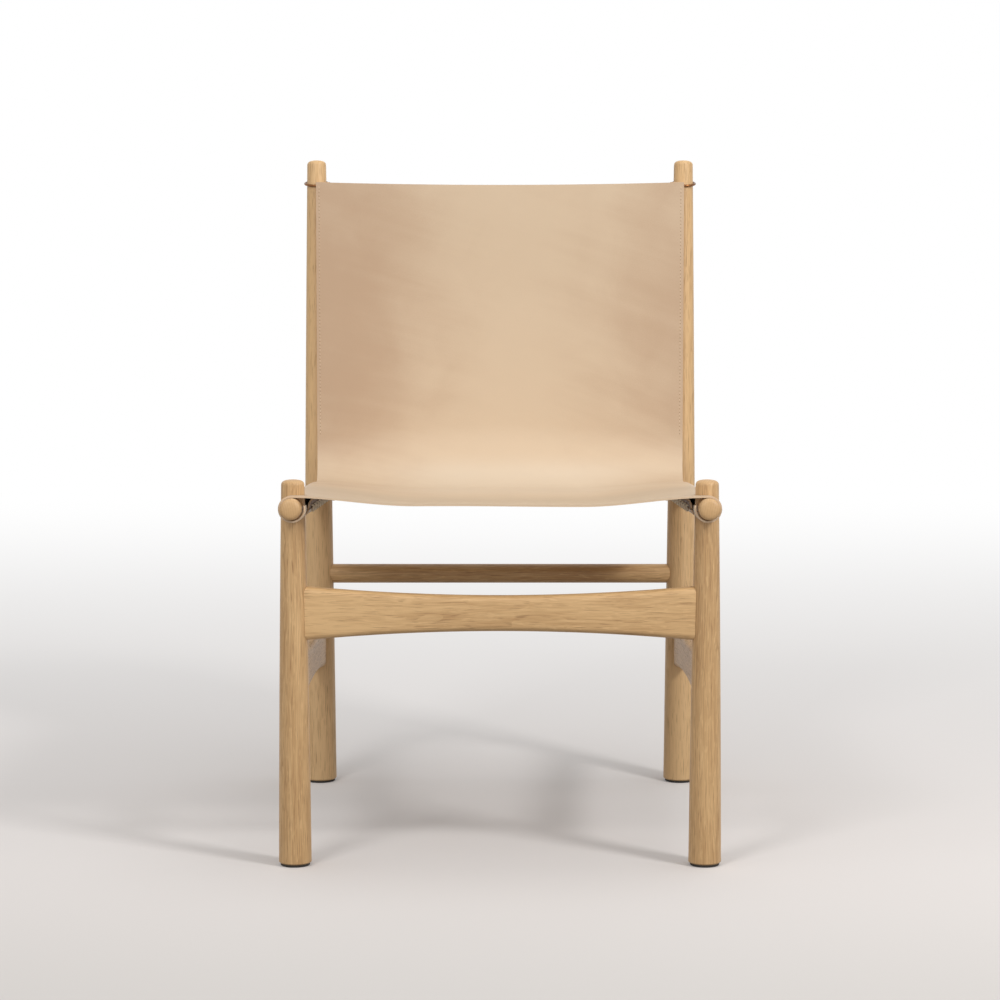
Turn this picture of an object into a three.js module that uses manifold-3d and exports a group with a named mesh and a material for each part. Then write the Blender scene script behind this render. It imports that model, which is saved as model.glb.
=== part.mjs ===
// Leather sling lounge chair: a glued oak frame of turned legs, round rails and arched stretchers
// carries one piece of saddle leather, welted into the rear posts and laced under the seat rails.
// Millimetres, +Z up, the chair faces -Y; left and right are as seen from the front.
import * as THREE from "three";
import { mergeVertices } from "three/addons/utils/BufferGeometryUtils.js";
import Module from "manifold-3d";

// Frame layout, measured between the axes of the round pieces
const SIDE_SPACING = 468.8;
const SIDE_X = SIDE_SPACING / 2;
const LEG_SPACING = 497;
const POST_OUTSET = 1.6;
const RAIL_SLOPE = THREE.MathUtils.degToRad(4);
const POST_LEAN = THREE.MathUtils.degToRad(7);
const POST_SPLAY = THREE.MathUtils.degToRad(0.41);

// Turned legs and posts, thicker at the floor, with soft domed tops
const LEG_HEIGHT = 443.5;
const RAIL_BELOW_LEG_TOP = 32.2;
const RAIL_HEIGHT = LEG_HEIGHT - RAIL_BELOW_LEG_TOP;
const LEG_FOOT_D = 37.4;
const LEG_TOP_D = 26.2;
const POST_HEIGHT = 801;
const POST_FOOT_D = 42;
const POST_TOP_D = 24.4;
const DOME_RISE = 2.3;
const EDGE_EASE = 4.2;
const DOME_HEIGHT = DOME_RISE + EDGE_EASE;
const FOOT_CHAMFER = 1.5;

// Seat rails and the knobs that end them in front of the legs
const RAIL_D = 24.6;
const KNOB_REACH = 56;
const KNOB_BORE_END = 44;

// Stretchers: three arched boards and a round one at the back
const BOARD_THICKNESS = 19;
const BOARD_EDGE_ROUND = 7;
const BOARD_END_HEIGHT = 61;
const FRONT_WAIST_HEIGHT = 40.5;
const SIDE_WAIST_HEIGHT = 40;
const FRONT_STRETCHER_Z = 291;
const SIDE_STRETCHER_FRONT_Z = 213;
const SIDE_STRETCHER_REAR_Z = 178;
const REAR_STRETCHER_Z = 267;
const REAR_STRETCHER_D = 24.5;

// Joinery
const ROUND_TENON_D = 15;
const ROUND_TENON_PAST_AXIS = 4;
const FLAT_TENON_THICKNESS = 9;
const FLAT_TENON_HEIGHT = 34;
const FLAT_TENON_PAST_AXIS = 3;
const TENON_ROOT = 12;
const GLUE_GAP = 0.3;

// Glides: discs with a pin pressed into each foot
const GLIDE_THICKNESS = 3;
const GLIDE_INSET = 2;
const GLIDE_CHAMFER = 0.8;
const GLIDE_PIN_D = 5;
const GLIDE_PIN_LENGTH = 14;

// Sling panel
const LEATHER = 2;
const SLING_BELOW_POST_TOP = 28;
const SLING_TOP_Z = POST_HEIGHT - SLING_BELOW_POST_TOP;
const SLING_TOP_DIP = 3.5;
const SLING_FRONT = 36;
const BEND_RADIUS_EDGE = 60;
const BEND_RADIUS_MIDDLE = 80;
const BACK_BOW = 6;
const BEND_SAG = 8;
const SEAT_SAG = 16;
const FRONT_SAG = 10;
const SAG_SPREAD = 0.6;
const POST_STANDOFF = 4.8;

// Stations down the panel, from its top edge to its front edge
const TOP = 0;
const BACK_MIDDLE = 0.5;
const BEND_START = 1;
const BEND_END = 2;
const SEAT_MIDDLE = 2.5;
const FRONT = 3;

// Straps round the knobs, flaps round the rails, and the strips the flaps are laced to
const FLAP_GAP = 0.3;
const FLAP_START = THREE.MathUtils.degToRad(84);
const STRAP = {
  start: THREE.MathUtils.degToRad(180),
  end: THREE.MathUtils.degToRad(374),
  flare: 2,
};
const WRAP = {
  start: THREE.MathUtils.degToRad(300),
  end: THREE.MathUtils.degToRad(350),
  flare: 3.2,
};
const LEG_NOTCH_GAP = 1.6;
const FLAP_REAR_MARGIN = 2;
const STRIP_THICKNESS = 2;
const STRIP_EDGE_GAP = 1;
const STRIP_RISE = 7.4;
const STRIP_LEAN = 0.5;
const STRIP_ROUND = 7;
const STRIP_TURN = 26;
const STRIP_INNER = 46;
const STRIP_CONTACT = 0.6;
const SEAT_CONTACT = 0.3;

// Lacing cord
const CORD_D = 2.4;
const LACE_HOLE_D = 3.2;
const LACE_PITCH = 48;
const LACE_FIRST = 16;
const LACE_HOLE_ANGLE = THREE.MathUtils.degToRad(340);
const STRIP_HOLE_SHARE = 0.15;
const CORD_CLEARANCE = 0.4;
const KNOT_D = 4.4;

// Shares of a lacing turn at which the cord lies behind the seam, comes out through the strip and
// crosses the seam again in front
const BEHIND_SHARE = 0.25;
const STRIP_SHARE = 0.5;
const CROSS_SHARE = 0.75;

// Welt along each back edge, its groove in the post, and the ring it hangs from
const WELT_INSET = 2;
const WELT_BULB_D = 6;
const WELT_WEB = 2.4;
const WELT_TAIL = 16;
const WELT_TAIL_THICKNESS = 3;
const WELT_DEPTH = 6.5;
const WELT_TOP_MARGIN = 0.5;
const GROOVE_CLEARANCE = 0.4;
const GROOVE_ENTRY = 22;
const RING_WIRE = 3;
const RING_BORE = 27;
const RING_BELOW_SLING_TOP = 2;
const RING_Z = SLING_TOP_Z - RING_BELOW_SLING_TOP;
const RING_CANT = THREE.MathUtils.degToRad(10);
const RING_FORWARD = 0.2;
const RING_HOLE_CLEARANCE = 0.4;

// Smoothness of round and curved faces
const ROUND_SEGMENTS = 24;
const SMALL_ROUND_SEGMENTS = 12;
const DOME_STEPS = 3;
const EASE_STEPS = 2;
const BOARD_CURVE_STEPS = 8;
const BOARD_EDGE_STEPS = 3;
const PANEL_COLUMNS = 12;
const BACK_ROWS = 5;
const BEND_ROWS = 6;
const SEAT_ROWS = 12;
const FLAP_STEPS = 16;
const STRIP_ROWS = 10;
const STRIP_COLUMNS = 6;
const HOLE_SEGMENTS = 8;
const CORD_SIDES = 6;
const WELD = 1e-3;

const RAIL_R = RAIL_D / 2;
const UP = new THREE.Vector3(0, 0, 1);

const wasm = await Module();
wasm.setup();

function solidFrom(geometry) {
  const bare = geometry.clone();
  bare.deleteAttribute("normal");
  bare.deleteAttribute("uv");
  const welded = mergeVertices(bare, WELD);
  const mesh = new wasm.Mesh({
    numProp: 3,
    vertProperties: welded.attributes.position.array,
    triVerts: new Uint32Array(welded.index.array),
  });
  return new wasm.Manifold(mesh);
}

function geometryFrom(solid) {
  const mesh = solid.getMesh();
  const geometry = new THREE.BufferGeometry();
  geometry.setAttribute("position", new THREE.BufferAttribute(mesh.vertProperties, 3));
  geometry.setIndex(new THREE.BufferAttribute(mesh.triVerts, 1));
  const faceted = geometry.toNonIndexed();
  faceted.computeVertexNormals();
  return faceted;
}

function joined(...geometries) {
  return geometries.map(solidFrom).reduce((whole, piece) => whole.add(piece));
}

function cut(solid, ...geometries) {
  return geometries.map(solidFrom).reduce((whole, tool) => whole.subtract(tool), solid);
}

function steps(from, to, count) {
  return Array.from({ length: count + 1 }, (_, step) => from + (to - from) * (step / count));
}

// A turned piece on the Z axis from [radius, height] pairs
function turned(profile, segments = ROUND_SEGMENTS) {
  const points = profile.map(([radius, height]) => new THREE.Vector2(radius, height));
  return new THREE.LatheGeometry(points, segments).rotateX(Math.PI / 2);
}

// A shallow domed end whose edge is eased, from the side at the base to the middle
function dome(radius, base) {
  const edge = base + EDGE_EASE;
  const crown = (reach) => edge + DOME_RISE * (1 - (reach / radius) ** 2);
  const inner = radius - EDGE_EASE;
  const ease = new THREE.QuadraticBezierCurve(
    new THREE.Vector2(radius, base),
    new THREE.Vector2(radius, edge),
    new THREE.Vector2(inner, crown(inner)),
  );
  return [
    ...ease.getPoints(EASE_STEPS).map((point) => [point.x, point.y]),
    ...steps(inner, 0, DOME_STEPS).slice(1).map((reach) => [reach, crown(reach)]),
  ];
}

function rod(diameter, start, end, segments = ROUND_SEGMENTS) {
  const span = new THREE.Vector3().subVectors(end, start);
  const length = span.length();
  const turn = new THREE.Quaternion().setFromUnitVectors(UP, span.normalize());
  const profile = [[0, 0], [diameter / 2, 0], [diameter / 2, length], [0, length]];
  return turned(profile, segments).applyQuaternion(turn).translate(start.x, start.y, start.z);
}

// Rail frame on the right side: x runs inward, y up, z rearward, with the front leg axis at z = 0
const railAlong = new THREE.Vector3(0, Math.cos(RAIL_SLOPE), -Math.sin(RAIL_SLOPE));
const railUp = new THREE.Vector3(0, Math.sin(RAIL_SLOPE), Math.cos(RAIL_SLOPE));
const railFrame = new THREE.Matrix4()
  .makeBasis(new THREE.Vector3(-1, 0, 0), railUp, railAlong)
  .setPosition(SIDE_X, 0, RAIL_HEIGHT);

function onRail(inward, up, rearward) {
  return new THREE.Vector3(inward, up, rearward).applyMatrix4(railFrame);
}

// Where the rail meets the post, which stands a little outside the rail's own plane
const postMeet =
  (LEG_SPACING + RAIL_HEIGHT * Math.tan(POST_LEAN)) /
  (Math.cos(RAIL_SLOPE) + Math.sin(RAIL_SLOPE) * Math.tan(POST_LEAN));
const postMeetZ = onRail(0, 0, postMeet).z;
const postAlong = new THREE.Vector3(Math.tan(POST_SPLAY), Math.tan(POST_LEAN), 1).normalize();
const postLength = POST_HEIGHT / postAlong.z;

function onPost(height) {
  const offset = height - postMeetZ;
  return new THREE.Vector3(
    SIDE_X + POST_OUTSET + offset * Math.tan(POST_SPLAY),
    LEG_SPACING + height * Math.tan(POST_LEAN),
    height,
  );
}

function legRadius(height) {
  return (LEG_FOOT_D + (LEG_TOP_D - LEG_FOOT_D) * (height / LEG_HEIGHT)) / 2;
}

function postRadius(distance) {
  return (POST_FOOT_D + (POST_TOP_D - POST_FOOT_D) * (distance / postLength)) / 2;
}

function legBlank(grow = 0) {
  const shoulder = LEG_HEIGHT - DOME_HEIGHT;
  return turned([
    [0, GLIDE_THICKNESS],
    [legRadius(0) - FOOT_CHAMFER + grow, GLIDE_THICKNESS],
    [legRadius(0) + grow, GLIDE_THICKNESS + FOOT_CHAMFER],
    ...dome(legRadius(shoulder) + grow, shoulder),
  ]).translate(SIDE_X, 0, 0);
}

function postBlank(grow = 0) {
  const shoulder = postLength - DOME_HEIGHT;
  const stock = POST_FOOT_D / 2;
  const foot = onPost(0);
  const turn = new THREE.Quaternion().setFromUnitVectors(UP, postAlong);
  return turned([
    [0, -stock],
    [postRadius(-stock) + grow, -stock],
    ...dome(postRadius(shoulder) + grow, shoulder),
  ])
    .applyQuaternion(turn)
    .translate(foot.x, foot.y, foot.z);
}

// A level foot with a chamfered rim, as wide above the floor as the leaning post needs
function postFootTrim() {
  const foot = onPost(0);
  const rim = POST_FOOT_D / 2 - FOOT_CHAMFER;
  const reach = POST_HEIGHT * 2;
  return turned([
    [0, GLIDE_THICKNESS],
    [rim, GLIDE_THICKNESS],
    [rim + reach, GLIDE_THICKNESS + reach],
    [0, GLIDE_THICKNESS + reach],
  ]).translate(foot.x, foot.y, 0);
}

// Flat tenon with round edges between two points, its height along the given direction
function flatTenon(start, end, upward, grow = 0) {
  const radius = FLAT_TENON_THICKNESS / 2 + grow;
  const reach = FLAT_TENON_HEIGHT / 2 - FLAT_TENON_THICKNESS / 2;
  const outline = new THREE.Shape();
  outline.absarc(0, reach, radius, 0, Math.PI);
  outline.absarc(0, -reach, radius, Math.PI, Math.PI * 2);
  const along = new THREE.Vector3().subVectors(end, start);
  const depth = along.length() + grow;
  along.normalize();
  const height = upward.clone().addScaledVector(along, -upward.dot(along)).normalize();
  const side = new THREE.Vector3().crossVectors(height, along);
  const frame = new THREE.Matrix4().makeBasis(side, height, along).setPosition(start);
  return new THREE.ExtrudeGeometry(outline, {
    depth,
    bevelEnabled: false,
    curveSegments: SMALL_ROUND_SEGMENTS / 4,
  }).applyMatrix4(frame);
}

// Board between two axis points, waisted by the same curve above and below, with rounded edges
function archedBoard(start, end, waistHeight) {
  const along = new THREE.Vector3().subVectors(end, start);
  const half = along.length() / 2;
  along.normalize();
  const height = UP.clone().addScaledVector(along, -UP.dot(along)).normalize();
  const side = new THREE.Vector3().crossVectors(along, height);
  const endRise = BOARD_END_HEIGHT / 2;
  const pull = waistHeight - endRise;
  const outline = new THREE.Shape();
  outline.moveTo(-half, -endRise);
  outline.quadraticCurveTo(0, -pull, half, -endRise);
  outline.lineTo(half, endRise);
  outline.quadraticCurveTo(0, pull, -half, endRise);
  const core = BOARD_THICKNESS - 2 * BOARD_EDGE_ROUND;
  const middle = new THREE.Vector3().addVectors(start, end).multiplyScalar(0.5);
  const frame = new THREE.Matrix4().makeBasis(along, height, side).setPosition(middle);
  return new THREE.ExtrudeGeometry(outline, {
    depth: core,
    curveSegments: BOARD_CURVE_STEPS,
    bevelSize: BOARD_EDGE_ROUND,
    bevelOffset: -BOARD_EDGE_ROUND,
    bevelThickness: BOARD_EDGE_ROUND,
    bevelSegments: BOARD_EDGE_STEPS,
  })
    .translate(0, 0, -core / 2)
    .applyMatrix4(frame);
}

function mirrored(point) {
  return new THREE.Vector3(-point.x, point.y, point.z);
}

// Axis points where the stretchers meet the right leg and post
const frontStretcherEnd = new THREE.Vector3(SIDE_X, 0, FRONT_STRETCHER_Z);
const rearStretcherEnd = onPost(REAR_STRETCHER_Z);
const sideStretcherFront = new THREE.Vector3(SIDE_X, 0, SIDE_STRETCHER_FRONT_Z);
const sideStretcherRear = onPost(SIDE_STRETCHER_REAR_Z);

function beyond(from, to, distance) {
  return to.clone().add(new THREE.Vector3().subVectors(to, from).setLength(distance));
}

function short(from, to, distance) {
  return beyond(from, to, -distance);
}

// Tenons on the right side, also the tools for their mortises
function frontStretcherTenon(grow = 0) {
  const root = legRadius(FRONT_STRETCHER_Z) + TENON_ROOT;
  const from = mirrored(frontStretcherEnd);
  const start = short(from, frontStretcherEnd, root);
  return flatTenon(start, beyond(from, frontStretcherEnd, FLAT_TENON_PAST_AXIS), UP, grow);
}

function sideStretcherTenon(from, to, root, grow = 0) {
  return flatTenon(short(from, to, root), beyond(from, to, FLAT_TENON_PAST_AXIS), UP, grow);
}

function sideFrontTenon(grow = 0) {
  const root = legRadius(SIDE_STRETCHER_FRONT_Z) + TENON_ROOT;
  return sideStretcherTenon(sideStretcherRear, sideStretcherFront, root, grow);
}

function sideRearTenon(grow = 0) {
  const root = postRadius(SIDE_STRETCHER_REAR_Z) + TENON_ROOT;
  return sideStretcherTenon(sideStretcherFront, sideStretcherRear, root, grow);
}

function rearStretcherTenon(grow = 0) {
  const root = postRadius(REAR_STRETCHER_Z) + TENON_ROOT;
  const from = mirrored(rearStretcherEnd);
  const start = short(from, rearStretcherEnd, root);
  const end = beyond(from, rearStretcherEnd, ROUND_TENON_PAST_AXIS + grow);
  return rod(ROUND_TENON_D + 2 * grow, start, end, SMALL_ROUND_SEGMENTS);
}

function railFrontTenon(grow = 0) {
  const root = legRadius(RAIL_HEIGHT) + TENON_ROOT;
  const start = onRail(0, 0, root);
  const end = onRail(0, 0, -KNOB_BORE_END - grow);
  return rod(ROUND_TENON_D + 2 * grow, start, end, SMALL_ROUND_SEGMENTS);
}

function railRearTenon(grow = 0) {
  const root = postMeet - postRadius(postMeetZ) - TENON_ROOT;
  const start = onRail(0, 0, root);
  const end = onRail(0, 0, postMeet + ROUND_TENON_PAST_AXIS + grow);
  return rod(ROUND_TENON_D + 2 * grow, start, end, SMALL_ROUND_SEGMENTS);
}

function glide(footDiameter) {
  const radius = footDiameter / 2 - GLIDE_INSET;
  const pin = GLIDE_PIN_D / 2;
  const tip = GLIDE_THICKNESS + GLIDE_PIN_LENGTH;
  const seat = GLIDE_THICKNESS - SEAT_CONTACT;
  return turned([
    [0, 0],
    [radius - GLIDE_CHAMFER, 0],
    [radius, GLIDE_CHAMFER],
    [radius, seat],
    [pin, seat],
    [pin, tip - pin],
    [0, tip],
  ]);
}

function glideHole(foot) {
  const end = GLIDE_THICKNESS + GLIDE_PIN_LENGTH + GLUE_GAP;
  const start = new THREE.Vector3(foot.x, foot.y, -GLIDE_THICKNESS);
  const tip = new THREE.Vector3(foot.x, foot.y, end);
  return rod(GLIDE_PIN_D + 2 * GLUE_GAP, start, tip, SMALL_ROUND_SEGMENTS);
}

function frontLeg() {
  const foot = new THREE.Vector3(SIDE_X, 0, 0);
  return cut(
    solidFrom(legBlank()),
    railFrontTenon(GLUE_GAP),
    frontStretcherTenon(GLUE_GAP),
    sideFrontTenon(GLUE_GAP),
    glideHole(foot),
  );
}

// Groove frame: z runs up the front line of the post, y into the wood, x outward
const postFront = new THREE.Vector3(0, -1, 0);
postFront.addScaledVector(postAlong, -postFront.dot(postAlong)).normalize();
const grooveAlong = postAlong
  .clone()
  .addScaledVector(postFront, (POST_TOP_D - POST_FOOT_D) / 2 / postLength)
  .normalize();
const grooveInward = postFront.clone().negate();
grooveInward.addScaledVector(grooveAlong, -grooveInward.dot(grooveAlong)).normalize();
const grooveStart = onPost(0).addScaledVector(postFront, POST_FOOT_D / 2);
const grooveFrame = new THREE.Matrix4()
  .makeBasis(new THREE.Vector3().crossVectors(grooveInward, grooveAlong), grooveInward, grooveAlong)
  .setPosition(grooveStart);

function upGroove(height) {
  return (height - grooveStart.z) / grooveAlong.z;
}

function grooveBar(diameter, from, to) {
  return turned(
    [[0, from], [diameter / 2, from], [diameter / 2, to], [0, to]],
    SMALL_ROUND_SEGMENTS,
  ).translate(-WELT_INSET, WELT_DEPTH, 0);
}

function grooveBox(xFrom, xTo, yFrom, yTo, zFrom, zTo) {
  return new THREE.BoxGeometry(xTo - xFrom, yTo - yFrom, zTo - zFrom).translate(
    (xFrom + xTo) / 2,
    (yFrom + yTo) / 2,
    (zFrom + zTo) / 2,
  );
}

// Seat and back lines of the sling in side view as [y, z], met by a bend of varying radius
const backUp = new THREE.Vector2(grooveAlong.y, grooveAlong.z).normalize();
const backAway = new THREE.Vector2(backUp.y, -backUp.x);
const backFoot = new THREE.Vector2(grooveStart.y, grooveStart.z).addScaledVector(
  backAway,
  -(POST_STANDOFF + LEATHER / 2),
);
const seatForward = new THREE.Vector2(-railAlong.y, -railAlong.z);
const seatAway = new THREE.Vector2(-railUp.y, -railUp.z);
const seatLift = RAIL_R + FLAP_GAP + LEATHER / 2;
const seatFoot = new THREE.Vector2(0, RAIL_HEIGHT).addScaledVector(seatAway, -seatLift);
const cornerOnBack =
  seatFoot.clone().sub(backFoot).cross(seatForward) / backUp.clone().cross(seatForward);
const corner = backFoot.clone().addScaledVector(backUp, cornerOnBack);
const cornerAngle = Math.acos(backUp.dot(seatForward));
const cornerRearward = seatFoot.clone().sub(corner).dot(seatForward);
const backReach = (SLING_TOP_Z - corner.y) / backUp.y;
const seatReach = cornerRearward + SLING_FRONT;

function arching(u) {
  return 1 - u * u;
}

function bendRadius(u) {
  return BEND_RADIUS_EDGE + (BEND_RADIUS_MIDDLE - BEND_RADIUS_EDGE) * arching(u);
}

function bendTangent(u) {
  return bendRadius(u) / Math.tan(cornerAngle / 2);
}

// How far the leather hangs from its side lines down the middle
const HANG = [
  [TOP, 0],
  [BACK_MIDDLE, BACK_BOW],
  [BEND_START, BACK_BOW],
  [BEND_END, BEND_SAG],
  [SEAT_MIDDLE, SEAT_SAG],
  [FRONT, FRONT_SAG],
];

function hang(station) {
  const last = HANG.length - 1;
  const next = HANG.findIndex(([at], index) => index > 0 && (at >= station || index === last));
  const [from, low] = HANG[next - 1];
  const [to, high] = HANG[next];
  return THREE.MathUtils.lerp(low, high, THREE.MathUtils.smoothstep(station, from, to));
}

// The back bows evenly; the seat leaves the rail level, sinks, and lies flat across the middle
function hangAt(u, station) {
  const bow = arching(u) ** 2;
  const sink = THREE.MathUtils.smoothstep(1 - Math.abs(u), 0, SAG_SPREAD);
  const seat = THREE.MathUtils.smoothstep(station, BEND_START, BEND_END);
  return hang(station) * THREE.MathUtils.lerp(bow, sink, seat);
}

// Middle surface of the panel: u runs from -1 at the left edge to 1 at the right
function panelPoint(u, station) {
  const tangent = bendTangent(u);
  const place = corner.clone();
  const away = new THREE.Vector2();
  if (station <= BEND_START) {
    const top = backReach - SLING_TOP_DIP * arching(u);
    place.addScaledVector(backUp, THREE.MathUtils.lerp(top, tangent, station));
    away.copy(backAway);
  } else if (station < BEND_END) {
    const inward = backAway.clone().add(seatAway).normalize();
    const centre = corner.clone().addScaledVector(inward, -bendRadius(u) / Math.sin(cornerAngle / 2));
    const turn = (Math.PI - cornerAngle) * (station - BEND_START);
    away.copy(backAway).rotateAround(new THREE.Vector2(), -turn);
    place.copy(centre).addScaledVector(away, bendRadius(u));
  } else {
    place.addScaledVector(seatForward, THREE.MathUtils.lerp(tangent, seatReach, station - BEND_END));
    away.copy(seatAway);
  }
  const seat = THREE.MathUtils.smoothstep(station, BEND_START, BEND_END);
  const edge = THREE.MathUtils.lerp(onPost(place.y).x, SIDE_X, seat);
  place.addScaledVector(away, hangAt(u, station));
  return new THREE.Vector3(u * edge, place.x, place.y);
}

// A closed sheet of even thickness about a middle surface sampled on a grid
function sheet(pointAt, acrossValues, alongValues, thickness) {
  const small = 1e-3;
  const rows = alongValues.map((along) =>
    acrossValues.map((across) => {
      const point = pointAt(across, along);
      const sideways = pointAt(across + small, along).sub(pointAt(across - small, along));
      const lengthways = pointAt(across, along + small).sub(pointAt(across, along - small));
      const normal = new THREE.Vector3().crossVectors(sideways, lengthways);
      return [point, normal.setLength(thickness / 2)];
    }),
  );
  const positions = [];
  rows.flat().forEach(([point, normal]) => positions.push(...point.clone().sub(normal).toArray()));
  rows.flat().forEach(([point, normal]) => positions.push(...point.clone().add(normal).toArray()));
  const width = acrossValues.length;
  const other = width * alongValues.length;
  const faces = [];
  const quad = (a, b, c, d) => faces.push(a, b, c, a, c, d);
  for (let row = 0; row < alongValues.length - 1; row += 1) {
    for (let column = 0; column < width - 1; column += 1) {
      const at = row * width + column;
      quad(other + at, other + at + 1, other + at + width + 1, other + at + width);
      quad(at + width, at + width + 1, at + 1, at);
    }
    const left = row * width;
    const right = left + width - 1;
    quad(left, other + left, other + left + width, left + width);
    quad(right + width, other + right + width, other + right, right);
  }
  const bottom = other - width;
  for (let column = 0; column < width - 1; column += 1) {
    quad(column, column + 1, other + column + 1, other + column);
    quad(other + bottom + column, other + bottom + column + 1, bottom + column + 1, bottom + column);
  }
  const geometry = new THREE.BufferGeometry();
  geometry.setAttribute("position", new THREE.Float32BufferAttribute(positions, 3));
  geometry.setIndex(faces);
  return geometry;
}

const legNotch = legRadius(RAIL_HEIGHT) + LEG_NOTCH_GAP;
const flapRear = cornerRearward - bendTangent(1) - FLAP_REAR_MARGIN;

// Inner radius of the leather as it wraps the rail from the top, over the outside, to the inner side
function flapRadius(angle, { start, end, flare }) {
  return RAIL_R + FLAP_GAP + flare * THREE.MathUtils.smoothstep(angle, start, end);
}

function flap(from, to, shape) {
  const angles = steps(FLAP_START, shape.end, FLAP_STEPS);
  const ring = (extra) =>
    angles.map((angle) => {
      const radius = flapRadius(angle, shape) + extra;
      return new THREE.Vector2(radius * Math.cos(angle), radius * Math.sin(angle));
    });
  const outline = new THREE.Shape([...ring(LEATHER), ...ring(0).reverse()]);
  return new THREE.ExtrudeGeometry(outline, { depth: to - from, bevelEnabled: false })
    .translate(0, 0, from)
    .applyMatrix4(railFrame);
}

// Underside of the seat panel near the rail, as the height above the rail axis
function seatUnderside(inward, rearward) {
  const u = 1 - inward / SIDE_X;
  const start = cornerRearward - bendTangent(u);
  const station = BEND_END + (start - rearward) / (start + SLING_FRONT);
  return seatLift - LEATHER / 2 - hangAt(u, station);
}

const stripFront = legNotch + LACE_HOLE_D;
const stripRear = cornerRearward - bendTangent(1 - STRIP_INNER / SIDE_X) - FLAP_REAR_MARGIN;
const laceFront = legNotch + LACE_FIRST;
const laceCount = Math.floor((stripRear - laceFront) / LACE_PITCH - STRIP_SHARE);

// Edge of the flap, as inward and upward from the rail's axis
const flapEdgeRadius = flapRadius(WRAP.end, WRAP) + LEATHER / 2;
const flapEdge = new THREE.Vector2(Math.cos(WRAP.end), Math.sin(WRAP.end)).multiplyScalar(flapEdgeRadius);

// Middle line of the strip's section: up from just over the flap's edge (0), round under the seat (1)
// and flat against it to its inner edge (2)
function stripSection(share, rearward) {
  const under = (inward) => seatUnderside(inward, rearward) - STRIP_CONTACT - STRIP_THICKNESS / 2;
  if (share > 1) {
    const inward = THREE.MathUtils.lerp(STRIP_TURN, STRIP_INNER, share - 1);
    return new THREE.Vector2(inward, under(inward));
  }
  const edge = new THREE.Vector2(flapEdge.x, flapEdge.y + STRIP_EDGE_GAP);
  const turn = new THREE.Vector2(STRIP_TURN, under(STRIP_TURN));
  return new THREE.CubicBezierCurve(
    edge,
    new THREE.Vector2(edge.x + STRIP_LEAN, edge.y + STRIP_RISE),
    new THREE.Vector2(turn.x - STRIP_ROUND, turn.y),
    turn,
  ).getPoint(share);
}

function flapHole(turnIndex) {
  const rearward = laceFront + turnIndex * LACE_PITCH;
  const reach = flapRadius(LACE_HOLE_ANGLE, WRAP);
  const point = (radius) =>
    onRail(radius * Math.cos(LACE_HOLE_ANGLE), radius * Math.sin(LACE_HOLE_ANGLE), rearward);
  return rod(LACE_HOLE_D, point(reach - LEATHER), point(reach + 2 * LEATHER), HOLE_SEGMENTS);
}

function stripHole(turnIndex) {
  const rearward = laceFront + (turnIndex + STRIP_SHARE) * LACE_PITCH;
  const middle = stripSection(STRIP_HOLE_SHARE, rearward);
  const near = onRail(middle.x - STRIP_THICKNESS, middle.y, rearward);
  const far = onRail(middle.x + STRIP_THICKNESS, middle.y, rearward);
  return rod(LACE_HOLE_D, near, far, HOLE_SEGMENTS);
}

function laceTurns(hole) {
  return Array.from({ length: laceCount + 1 }, (_, turnIndex) => hole(turnIndex));
}

function mirroredGeometry(geometry) {
  const flipped = geometry.index ? geometry.toNonIndexed() : geometry.clone();
  flipped.scale(-1, 1, 1);
  const position = flipped.attributes.position;
  const first = new THREE.Vector3();
  const second = new THREE.Vector3();
  for (let apex = 0; apex < position.count; apex += 3) {
    first.fromBufferAttribute(position, apex + 1);
    second.fromBufferAttribute(position, apex + 2);
    position.setXYZ(apex + 1, second.x, second.y, second.z);
    position.setXYZ(apex + 2, first.x, first.y, first.z);
  }
  return flipped;
}

// The whole leather: panel, a strap round each knob and a flap round each rail, notched at the legs
function sling() {
  const columns = steps(-1, 1, PANEL_COLUMNS);
  const stations = [
    ...steps(TOP, BEND_START, BACK_ROWS),
    ...steps(BEND_START, BEND_END, BEND_ROWS).slice(1),
    ...steps(BEND_END, FRONT, SEAT_ROWS).slice(1),
  ];
  const panel = sheet(panelPoint, columns, stations, LEATHER);
  const strap = flap(-SLING_FRONT, -legNotch, STRAP);
  const wrap = flap(legNotch, flapRear, WRAP);
  const wraps = [strap, wrap];
  const notch = rod(
    2 * legNotch,
    new THREE.Vector3(SIDE_X, 0, RAIL_HEIGHT - RAIL_D),
    new THREE.Vector3(SIDE_X, 0, RAIL_HEIGHT + RAIL_D),
  );
  const tools = [notch, ...laceTurns(flapHole)];
  const whole = joined(panel, ...wraps, ...wraps.map(mirroredGeometry));
  return cut(whole, ...tools, ...tools.map(mirroredGeometry));
}

function lacingStrip() {
  const pointAt = (share, rearward) => {
    const { x, y } = stripSection(share, rearward);
    return onRail(x, y, rearward);
  };
  const across = [...steps(0, 1, STRIP_COLUMNS), 2];
  const along = steps(stripFront, stripRear, STRIP_ROWS);
  return cut(solidFrom(sheet(pointAt, across, along, STRIP_THICKNESS)), ...laceTurns(stripHole));
}

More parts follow.
